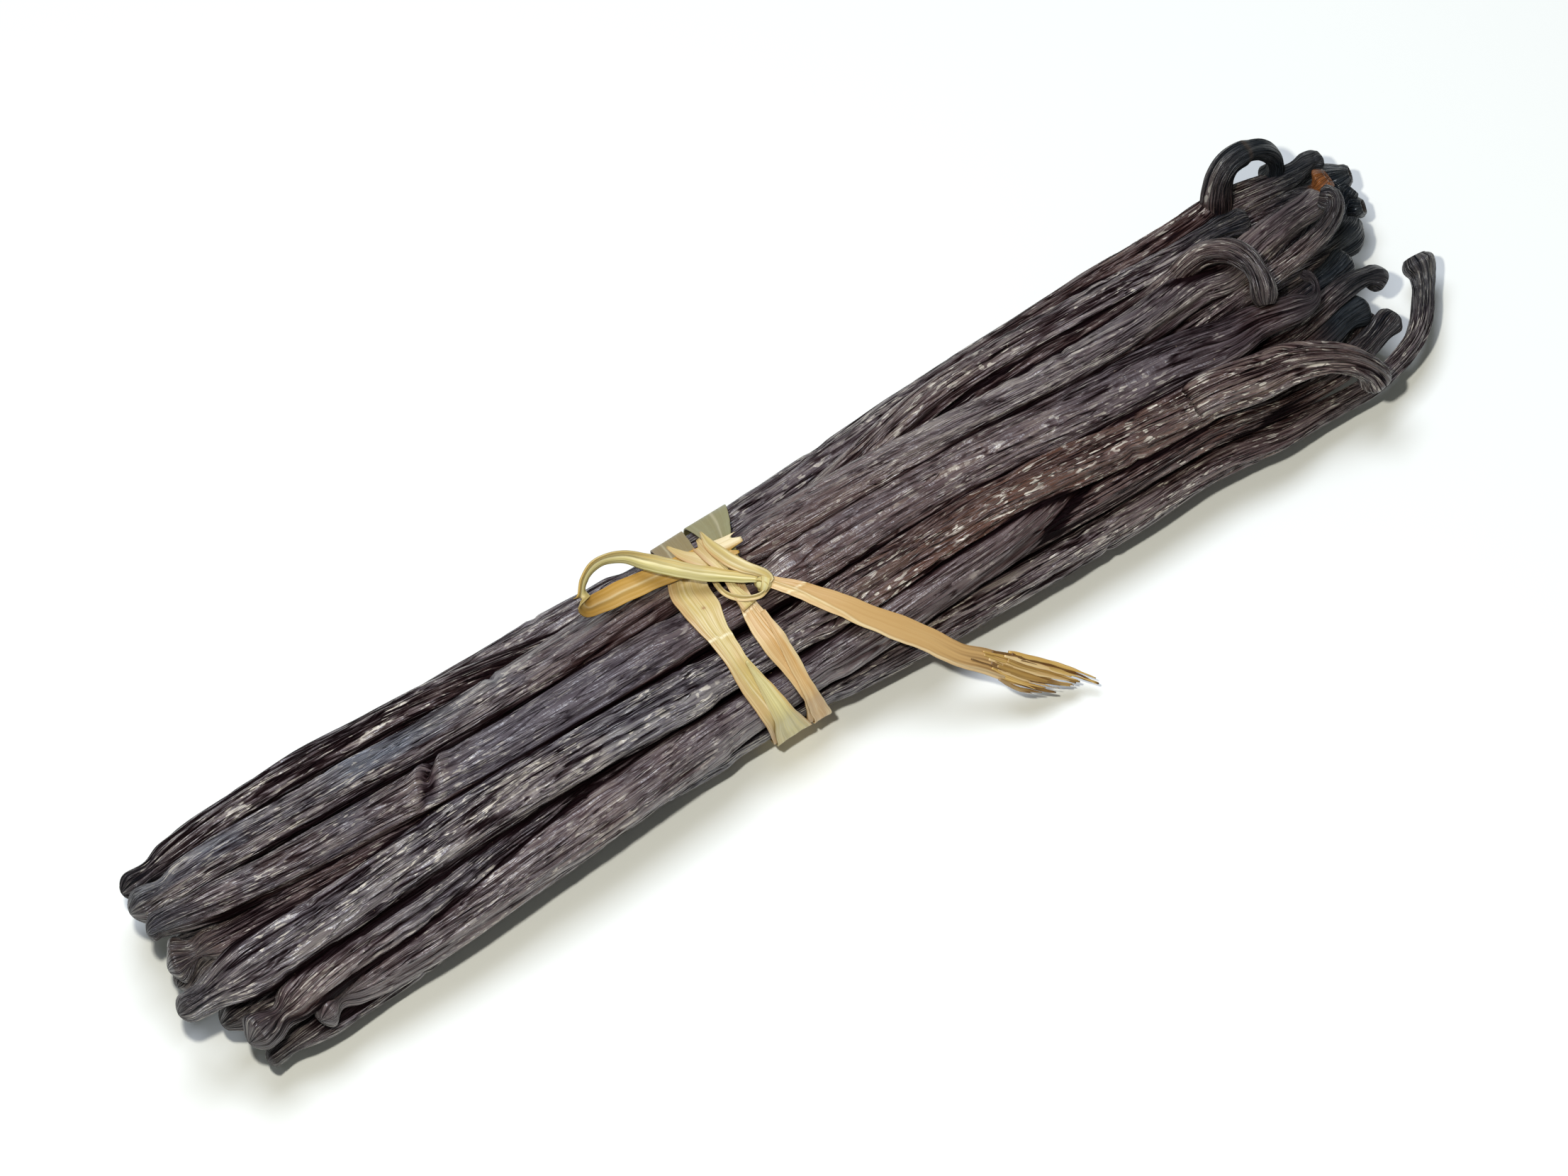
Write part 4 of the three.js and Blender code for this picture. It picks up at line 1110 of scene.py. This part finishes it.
def leafStrip(name, centre, ahead, face, half, finish, seed, **own):
    # one strip from its middle line, direction, facing and half width, row by row; own is what else this strip has
    form = leafForm
    draw = np.random.default_rng(seed)
    closed = own.get("closed", False)
    side = unit(np.cross(face, ahead))
    face = unit(np.cross(ahead, side))
    columns = int(np.clip(2 * np.max(half) / form["columnMm"], *form["columns"]))
    across = np.linspace(0, 1, columns)[None, :]
    run = lengthsAlong(centre)
    along = run[:, None] + 0 * across
    share = run[:, None] / run[-1]
    width = float(np.mean(2 * half))
    wobble = form["edgeWobble"]
    left, right = (
        half + wobble * driftNoise(draw, run, 2.2) + 0.5 * wobble * driftNoise(draw, run, 0.9) for _ in range(2)
    )
    if closed:
        seam = fades(run, run[-1], (0, form["seamMm"]), (form["seamMm"], 0))
        left, right = mixed(half, left, seam), mixed(half, right, seam)
    lateral = mixed(-left[:, None], right[:, None], across)

    # how far its middle sheet lifts: pleats, fibres, a curl or a crown, then what was bent into it
    pleats = driftNoise(draw, across[0] * max(2, int(width / form["pleatMm"])), 0.5)[None, :]
    pleats = pleats * mixed(1, 0.4 * driftNoise(draw, run, 12)[:, None], 0.5)
    lift = own.get("pleat", form["pleat"]) * pleats
    lift = lift + form["fibre"] * driftNoise(draw, across[0] * width / form["fibreMm"], 0.5)[None, :]
    lift = lift + own.get("curl", 0.0) * np.abs(2 * across - 1) ** 3 + own.get("crown", 0.0) * np.sin(math.pi * across)
    fold = 0 * along
    for at, slant, height in own.get("creases", []):
        # a crease across the strip: the leaf kinks there and its bent fibres turn pale
        away = along - at - slant * (across - 0.5) - 0.09 * driftNoise(draw, across[0] * 9, 0.5)[None, :]
        fold = np.maximum(fold, 0.9 * np.exp(-((away / 0.12) ** 2)))
        lift = lift + height * np.exp(-((away / 0.4) ** 2))
    for place, height, wide in own.get("folds", []):
        # a fold along the strip
        line = place(share) if callable(place) else place
        away = (across - line - 0.03 * driftNoise(draw, run, 8)[:, None]) / wide
        fold = np.maximum(fold, 0.3 * np.exp(-((away * 1.8) ** 2)))
        lift = lift + height * np.exp(-(away**2))
    if "pale" in own:
        fold = np.maximum(fold, own["pale"](share, across))
    if closed:
        lift = lift * seam[:, None]

    # torn ends
    torn = 0 * along
    for rag, fromEdge, inward in ((own.get("startRag", 0), run, 1), (own.get("endRag", 0), run[-1] - run, -1)):
        if rag:
            teeth = rag * (0.5 + 0.5 * np.clip(driftNoise(draw, across[0] * width / form["toothMm"], 1), -1, 1))
            torn = torn + inward * teeth[None, :] * np.exp(-fromEdge / max(0.5, rag))[:, None]
    upper = (
        centre[:, None, :]
        + side[:, None, :] * lateral[..., None]
        + face[:, None, :] * (lift + form["thickness"] / 2)[..., None]
        + ahead[:, None, :] * torn[..., None]
    )
    under = upper - face[:, None, :] * form["thickness"]
    points = np.vstack([upper.reshape(-1, 3), under.reshape(-1, 3)])
    points[:, 2] = np.maximum(points[:, 2], 0.05)
    values = {"across": across + 0 * along, "fold": fold}
    for key in ("far", "stain"):
        values[key] = np.clip(own[key](share, across) + 0 * lift, 0, 1) if key in own else 0 * lift
    strip = np.stack([along, (across - 0.5) * width + 0 * along, np.full_like(along, seed * 3.7)], axis=-1)
    meshFrom(
        name, points, splitFaces(len(run), columns, closed), [],
        {key: np.tile(numbers.reshape(-1), 2) for key, numbers in values.items()},
        {"strip": np.tile(strip.reshape(-1, 3), (2, 1))}, leafSkins[finish], "leaf_tie", "dried_leaf",
    )


def strandLine(places, across, wide):
    # rows for a loose strand, its better side up, from its middle points, the direction across it and its widths
    line = smoothCurve(places)
    length = lengthsAlong(line)[-1]
    distance = np.linspace(0, length, max(8, int(length / leafForm["rowMm"])))
    centre, ahead = placesAt(line, distance)
    spread = np.atleast_2d(np.asarray(across, float))
    at = np.linspace(0, 1, len(spread))
    side = np.stack([np.interp(distance / length, at, spread[:, k]) for k in range(3)], axis=1)
    side = side - np.sum(side * ahead, axis=1, keepdims=True) * ahead
    face = unit(np.cross(ahead, unit(side)))
    half = np.interp(distance / length, np.linspace(0, 1, len(wide)), wide) / 2
    return centre, ahead, -face if np.mean(face[:, 2]) < 0 else face, half


def closedAhead(centre):
    # direction along a line that closes on itself
    looped = np.vstack([centre[-1:], centre, centre[:1]])
    return unit(looped[2:] - looped[:-2])


def softened(values, width, mode):
    kernel = np.hanning(width) / np.sum(np.hanning(width))
    return np.convolve(np.pad(values, width // 2, mode=mode), kernel, mode="valid")


# The two turns round the sheaf, each as places round it in degrees: [angle, lower x edge, upper x edge].
bandPlaces = {
    "blunt_turn": [
        [16, 82.8, 87.4], [45, 81.7, 86.1], [70, 79.4, 84.4], [90, 79.5, 83.9], [105, 80.0, 83.2], [125, 80.3, 83.0],
        [150, 80.6, 84.4], [190, 82.4, 87.2], [230, 84.4, 88.8], [310, 84.7, 88.9], [376, 82.8, 87.4],
    ],
    "stem_turn": [
        [16, 88.1, 94.1], [52, 87.8, 90.6], [72, 87.0, 89.4], [88, 86.0, 88.0], [99, 85.9, 87.9], [107, 85.4, 88.2],
        [118, 85.2, 88.6], [128, 85.3, 88.7], [140, 86.0, 88.8], [153, 86.7, 88.8], [166, 87.4, 89.2],
        [176, 87.5, 89.7], [188, 87.5, 90.6], [230, 87.5, 91.3], [310, 87.6, 92.0], [376, 88.1, 94.1],
    ],
    # flaps that lie over them where the strip was folded
    "blunt_fold": [[128, 82.5, 82.9], [150, 82.4, 84.4], [174, 82.4, 86.3], [195, 82.9, 88.1], [222, 84.4, 88.9]],
    "stem_fold": [
        [108, 87.5, 88.3], [117, 87.5, 88.4], [141, 87.1, 88.8], [162, 87.3, 89.0], [190, 88.4, 90.9],
        [215, 89.0, 91.0],
    ],
}
bandForm = {
    "step": 1.5,  # degrees
    "clearance": 0.1,
    "edgeSoftening": 9,
    "reachSoftening": 7,
    "meanReach": 12.9,
    "foldGap": 0.28,  # between a folded flap and the turn under it
}
bandX = np.arange(76.0, 96.1, 2.0)
bandReach = np.array([tightReach(x) for x in bandX])


def bandStrip(name, finish, seed, gap=0.0, **own):
    form = bandForm
    places = np.array(bandPlaces[name], float)
    closed = own.get("closed", False)
    mode = "wrap" if closed else "edge"
    angles = np.arange(places[0, 0], places[-1, 0] - (form["step"] if closed else 0) + 0.01, form["step"])
    low, high = (
        softened(np.interp(angles, places[:, 0], places[:, k]), form["edgeSoftening"], mode) for k in (1, 2)
    )
    reach = []
    for whole, *edges in zip(np.floor(angles).astype(int) % 360, low, high):
        reach.append(max(np.interp(edges, bandX, bandReach[:, whole])) + gap + form["clearance"])
    reach = np.maximum(reach, softened(reach, form["reachSoftening"], mode))
    turned = np.radians(angles)
    face = np.stack([0 * turned, np.cos(turned), np.sin(turned)], axis=-1)
    centre = face * reach[:, None] + np.array([0, *sheaf["axis"]])
    centre[:, 0] = (low + high) / 2
    ahead = closedAhead(centre) if closed else unit(np.gradient(centre, axis=0))
    leafStrip(name, centre, ahead, face, (high - low) / 2, finish, seed, **own)


def angleRun(name, angle):
    # how far along a band a place lies, given by its angle round the sheaf
    return np.radians(angle - bandPlaces[name][0][0]) * bandForm["meanReach"]


bandStrip(
    "blunt_turn", "paleStraw", 5, closed=True, pleat=0.02,
    creases=[(angleRun("blunt_turn", 107), 0.5, 0.14)],
    folds=[(0.34, 0.07, 0.05)],
    far=lambda u, v: 1 - smoothstep(u, 0.1, 0.14) + smoothstep(u, 0.65, 0.8),
    stain=lambda u, v: 0.8 * np.exp(-((u - 0.196) / 0.0025) ** 2 - ((v - 0.55) / 0.05) ** 2),
)
bandStrip(
    "stem_turn", "pinkTan", 6, closed=True,
    creases=[(angleRun("stem_turn", 102), -0.7, 0.14)],
    folds=[(0.62, 0.14, 0.06)],
    far=lambda u, v: 1 - smoothstep(u, 0.13, 0.17) + smoothstep(u, 0.65, 0.8),
)
bandStrip("blunt_fold", "foldStraw", 7, gap=bandForm["foldGap"], curl=0.1)
bandStrip("stem_fold", "pinkTan", 8, gap=bandForm["foldGap"], curl=0.08)

looseLeaf = {
    "bow": {
        "middle": [[89.3, 0.1, 25.2], [87.6, 1.2, 25.6], [85.6, 2.6, 26.2], [83.0, 4.3, 27], [80.4, 6.4, 27.9],
                   [78.3, 8.3, 28.6], [76.2, 10.3, 29.1], [74.2, 11.2, 29.2], [72.2, 11.3, 29], [70.5, 10.6, 28.3],
                   [69.5, 9.6, 27.3], [69.2, 8.9, 26.2], [69.7, 8.6, 25.3], [71.2, 8.5, 24.9], [75, 8.2, 24.5],
                   [80.1, 7.6, 24.1], [86.8, 6.6, 23.8], [91.0, 6, 24]],
        "across": [[0.3, 0.87, 0.38], [0.3, 0.87, 0.38], [0.3, 0.87, 0.38], [0.3, 0.85, 0.42], [0.25, 0.7, 0.6],
                   [0.15, 0.35, 0.9], [0.1, 0.15, 0.98], [0.2, 0.3, 0.9], [0.3, 0.6, 0.7], [0.3, 0.8, 0.5],
                   [0.3, 0.87, 0.38], [0.3, 0.87, 0.38], [0.3, 0.87, 0.38], [0.3, 0.87, 0.38], [0.3, 0.87, 0.38],
                   [0.3, 0.87, 0.38]],
        "wide": [0.9, 1.4, 1.8, 2.0, 2.2, 2.3, 2.2, 2.1, 2.1, 2.4, 2.8, 2.9, 2.8, 2.8, 2.8, 2.8, 2.8, 2.6],
    },
    "short_end": {
        "middle": [[86.8, 9.2, 25.4], [86.8, 6.7, 25.9], [87.4, 4.2, 26.3], [88.4, 2.2, 26.3], [89.6, 0.8, 26],
                   [90.5, -0.3, 25.6], [90.6, -1.1, 25], [89.8, -1.5, 24.6], [88.6, -1.8, 24.5], [87.1, -1.3, 24.4],
                   [85.9, -0.3, 24.3], [85, 1.4, 24.1], [85, 3.3, 23.9], [85.5, 4.8, 23.7]],
        "across": [[0.85, 0.5, 0.1], [0.85, 0.5, 0.1], [0.8, 0.6, 0.1], [0.6, 0.7, 0.3], [0.3, 0.5, 0.8],
                   [0.3, 0.3, 0.9], [0.3, 0.5, 0.8], [0.5, 0.5, 0.7], [0.6, 0.3, 0.7], [0.9, 0.2, 0.3]],
        "wide": [0.4, 1.3, 1.6, 1.7, 1.6, 1.3, 1.1, 0.9, 0.8, 0.7, 0.7, 0.7, 0.7, 0.6],
    },
    "loose_end": {
        "middle": [[85.5, 8.5, 25.4], [85.7, 6.6, 25.6], [86.1, 4.7, 25.6], [86.4, 2.9, 25.2], [86.2, 1.4, 24.6],
                   [86.5, -0.3, 24.1], [86.8, -1.9, 23.6]],
        "across": [0.95, 0.25, 0.1],
        "wide": [1.6, 1.7, 1.7, 1.5, 1.1, 1.5, 2.2],
    },
    "fold_point": {
        "middle": [[82.5, 10.2, 24.6], [83.4, 8.1, 25], [84.5, 6.5, 25.2], [85.6, 5.2, 25.2]],
        "across": [0.75, 0.6, 0.1],
        "wide": [0.3, 1.1, 1.7, 1.8],
    },
    "tail": {
        "middle": [[90, -0.2, 24.6], [92.6, -3.4, 24.6], [94.5, -5.7, 24], [96.8, -8.5, 23], [100.2, -12.1, 20.8],
                   [103.4, -15, 18.3], [106.6, -18.2, 15.1], [110.6, -20.7, 11.5], [113.8, -22.9, 8.3]],
        "across": [0.75, 0.6, 0.25],
        "wide": [1.4, 2.3, 2.7, 3.1, 3.2, 3.1, 3.0, 3.1, 3.0],
    },
}


def looseStrip(name, finish, seed, **own):
    strand = looseLeaf[name]
    leafStrip(name, *strandLine(strand["middle"], strand["across"], strand["wide"]), finish, seed, **own)


def tailFold(u):
    # where the lengthwise fold lies across the tail
    return np.maximum(0.74 - 1.7 * u, 0.14 + 0.05 * np.sin(9 * u))


def tornStain(u, v):
    # brown lengthwise streaks that grow toward the torn end
    return smoothstep(u, 0.55, 0.95) * np.clip(0.25 + 0.6 * np.sin(31 * v + 4 * u) * np.sin(13 * v + 1), 0, 0.8)


looseStrip(
    "bow", "bowStraw", 12, folds=[(0.5, 0.16, 0.1)], endRag=2.8,
    far=lambda u, v: smoothstep(u, 0.5, 0.56),
    pale=lambda u, v: 0.6 * smoothstep(u, 0.88, 0.93) * smoothstep(v, 0.45, 0.6),
    stain=lambda u, v: 0.45 * np.exp(-(((u - 0.57) / 0.05) ** 2)),
)
looseStrip("fold_point", "paleStraw", 16, stain=lambda u, v: 0.12 + 0 * u)
looseStrip(
    "loose_end", "paleStraw", 17, pleat=0.04, startRag=1.0, stain=lambda u, v: 0.25 * (1 - smoothstep(u, 0.1, 0.5))
)
looseStrip("short_end", "paleStraw", 13, crown=0.12, folds=[(0.35, 0.12, 0.14)])
looseStrip(
    "tail", "tailTan", 15, folds=[(tailFold, 0.24, 0.08)], creases=[(4.2, 1.6, 0.15)], stain=tornStain, endRag=2.6,
    # the facet beyond the fold takes the far colour as painted shade
    far=lambda u, v: smoothstep(v - tailFold(u), -0.03, 0.03) * smoothstep(u, 0.0, 0.1),
)

frayed = {
    "seed": 90,
    "strands": 20,
    "spread": (3.0, 3.5, 4.3, 4.1, 1.3),
    "reach": (0.62, 0.37),  # of the first strand, and how much more the last one has
    "widths": (0.3, 0.65),
    "tipWidth": 0.12,
    "path": [[118.2, -25.6, 4.6], [123.2, -28.4, 1.8]],  # on from the tail's last three points
    "finishes": ("tailTan", "goldenTan", "goldenTan"),
    "dark": (-0.4, 1.1),
}


def frayTail(look):
    # the torn end: narrow strands that part from each other and stop at different lengths
    draw = np.random.default_rng(look["seed"])
    tail = looseLeaf["tail"]
    path = np.array([*tail["middle"][-3:], *look["path"]])
    across = unit(np.array(tail["across"]))
    up = np.array([0.0, 0.3, 0.95])
    for k in range(look["strands"]):
        lane = (k + 0.5) / look["strands"] - 0.5
        reach = look["reach"][0] + look["reach"][1] * (lane + 0.5) + 0.05 * draw.uniform(-1, 1)
        spread = np.array(look["spread"]) * lane + 0.16 * draw.uniform(-1, 1, len(path))
        places = path + across * spread[:, None] + up * (0.25 + 0.25 * draw.uniform(-1, 1, (len(path), 1)))
        line = smoothCurve(places)
        line = line[int(len(line) * draw.uniform(0.1, 0.4)) : int(len(line) * min(1, reach))]
        knots = line[:: max(1, len(line) // 6)]
        taper = np.abs(2 * np.linspace(0, 1, len(knots)) - 0.8) / 1.2
        wide = mixed(draw.uniform(*look["widths"]), look["tipWidth"], smoothstep(taper, 0.4, 1))
        dark = draw.uniform(*look["dark"])
        leafStrip(
            f"frayed_strand_{k + 1}", *strandLine(knots, across, wide), look["finishes"][k % 3], 40 + k, pleat=0.02,
            stain=lambda u, v: dark + 0.3 * smoothstep(u, 0.3, 1.0) * np.sin(9 * u + k),
        )


frayTail(frayed)

knot = {"middle": [89.7, -0.6, 24.6], "size": [1.2, 1.05, 1.0], "tilts": [0.5, -0.55], "core": 0.82, "grid": (24, 12)}


def knotPieces(look):
    # the knot: the strip crosses over itself in a few tight turns round a small hard middle
    middle, size = np.array(look["middle"]), np.array(look["size"])
    turned = np.linspace(0, 2 * math.pi, 60, endpoint=False)
    for k, tilt in enumerate(look["tilts"]):
        c, s = math.cos(tilt), math.sin(tilt)
        ring = np.stack([0.3 * np.sin(turned), np.cos(turned), np.sin(turned)], axis=-1)
        ring = ring @ np.array([[c, -s, 0], [s, c, 0], [0, 0, 1]]).T
        centre = middle + ring * size * (0.86 + 0.08 * k)
        leafStrip(
            f"knot_turn_{k + 1}", centre, closedAhead(centre), unit(ring * size), 0.5 + 0.12 * np.sin(turned + k),
            "foldStraw", 60 + k, closed=True, crown=0.2, folds=[(0.5, 0.08, 0.2)],
        )
    sides, rows = look["grid"]
    turned, rise = np.meshgrid(np.linspace(0, 2 * math.pi, sides, endpoint=False), np.linspace(-1.4, 1.4, rows))
    rings = np.stack([np.cos(rise) * np.cos(turned), np.cos(rise) * np.sin(turned), np.sin(rise)], axis=-1)
    points = np.vstack([rings.reshape(-1, 3), [0, 0, -1], [0, 0, 1]]) * size * look["core"] + middle
    values = {key: np.zeros(len(points)) for key in ("far", "stain", "fold")}
    values["across"] = np.full(len(points), 0.5)
    meshFrom(
        "knot_middle", points, *tubeFaces(rows, sides), values, {"strip": points - middle}, leafSkins["foldStraw"],
        "leaf_tie", "dried_leaf",
    )


knotPieces(knot)
print("leaf tied")

tableLook = {"colour": "#f2f2f0", "half": 2.0, "grainMm": 10 / 9}
lightLook = {
    "world": "#e9efe6",
    "worldStrength": 0.17,
    "flash": "#fffdee",
    "flashPower": 8.0,
    "flashSize": 0.01,
    "flashPlace": (-50, -203, 569),  # from the camera's target: to the right, away, up
    "soft": "#e8f1ff",
    "softPower": 4.5,
    "softSize": 0.3,
    "softDistance": 0.8,
    "softTurn": 200.0,  # from behind the bundle
    "softRise": 82.0,
}


def makeTable(look):
    # Matt white card: it gives back a clean, even light round the bundle.
    material, tree = newMaterial("mattWhiteCard")
    where = addNode(tree, "ShaderNodeTexCoord")
    grain = addNode(
        tree, "ShaderNodeTexNoise", {"Scale": 1000 / look["grainMm"], "Detail": 2.0}, {"Vector": (where, "Object")}
    )
    bump = addNode(tree, "ShaderNodeBump", {"Strength": 0.05, "Distance": 0.0001}, {"Height": (grain, "Fac")})
    card = addNode(
        tree, "ShaderNodeBsdfPrincipled",
        {"Base Color": toLinear(look["colour"]), "Roughness": 0.9, "Specular IOR Level": 0.2},
        {"Normal": (bump, 0)},
    )
    addNode(tree, "ShaderNodeOutputMaterial", links={"Surface": (card, 0)})
    half = look["half"]
    mesh = bpy.data.meshes.new("table")
    corners = [(-half, -half, 0), (half, -half, 0), (half, half, 0), (-half, half, 0)]
    mesh.from_pydata(corners, [], [(0, 1, 2, 3)])
    mesh.materials.append(material)
    table = bpy.data.objects.new("table", mesh)
    bpy.context.scene.collection.objects.link(table)


def makeLights(look):
    world = bpy.data.worlds.new("paleRoom")
    world.use_nodes = True
    background = world.node_tree.nodes["Background"]
    background.inputs["Color"].default_value = toLinear(look["world"])
    background.inputs["Strength"].default_value = look["worldStrength"]
    bpy.context.scene.world = world
    back = backward(cameraView)
    right = Vector((0, 0, 1)).cross(back).normalized()
    away = Vector((0, 0, 1)).cross(right)
    flashData = bpy.data.lights.new("flash", "POINT")
    flashData.energy = look["flashPower"]
    flashData.shadow_soft_size = look["flashSize"]
    flashData.color = toLinear(look["flash"])[:3]
    flash = bpy.data.objects.new("flash", flashData)
    place = look["flashPlace"]
    foot = Vector(toRow((*cameraView["target"][:2], 0)))
    flash.location = foot + (right * place[0] + away * place[1] + Vector((0, 0, place[2]))) / 1000
    softData = bpy.data.lights.new("softLight", "AREA")
    softData.energy = look["softPower"]
    softData.size = look["softSize"]
    softData.color = toLinear(look["soft"])[:3]
    soft = bpy.data.objects.new("softLight", softData)
    direction = backward({"turn": look["softTurn"], "rise": look["softRise"]})
    soft.location = direction * look["softDistance"]
    soft.rotation_euler = direction.to_track_quat("Z", "Y").to_euler()
    for light in (flash, soft):
        bpy.context.scene.collection.objects.link(light)


makeTable(tableLook)
makeLights(lightLook)
bpy.context.scene.view_settings.view_transform = "Standard"
bpy.context.scene.view_settings.look = "None"
print("table and lights set")
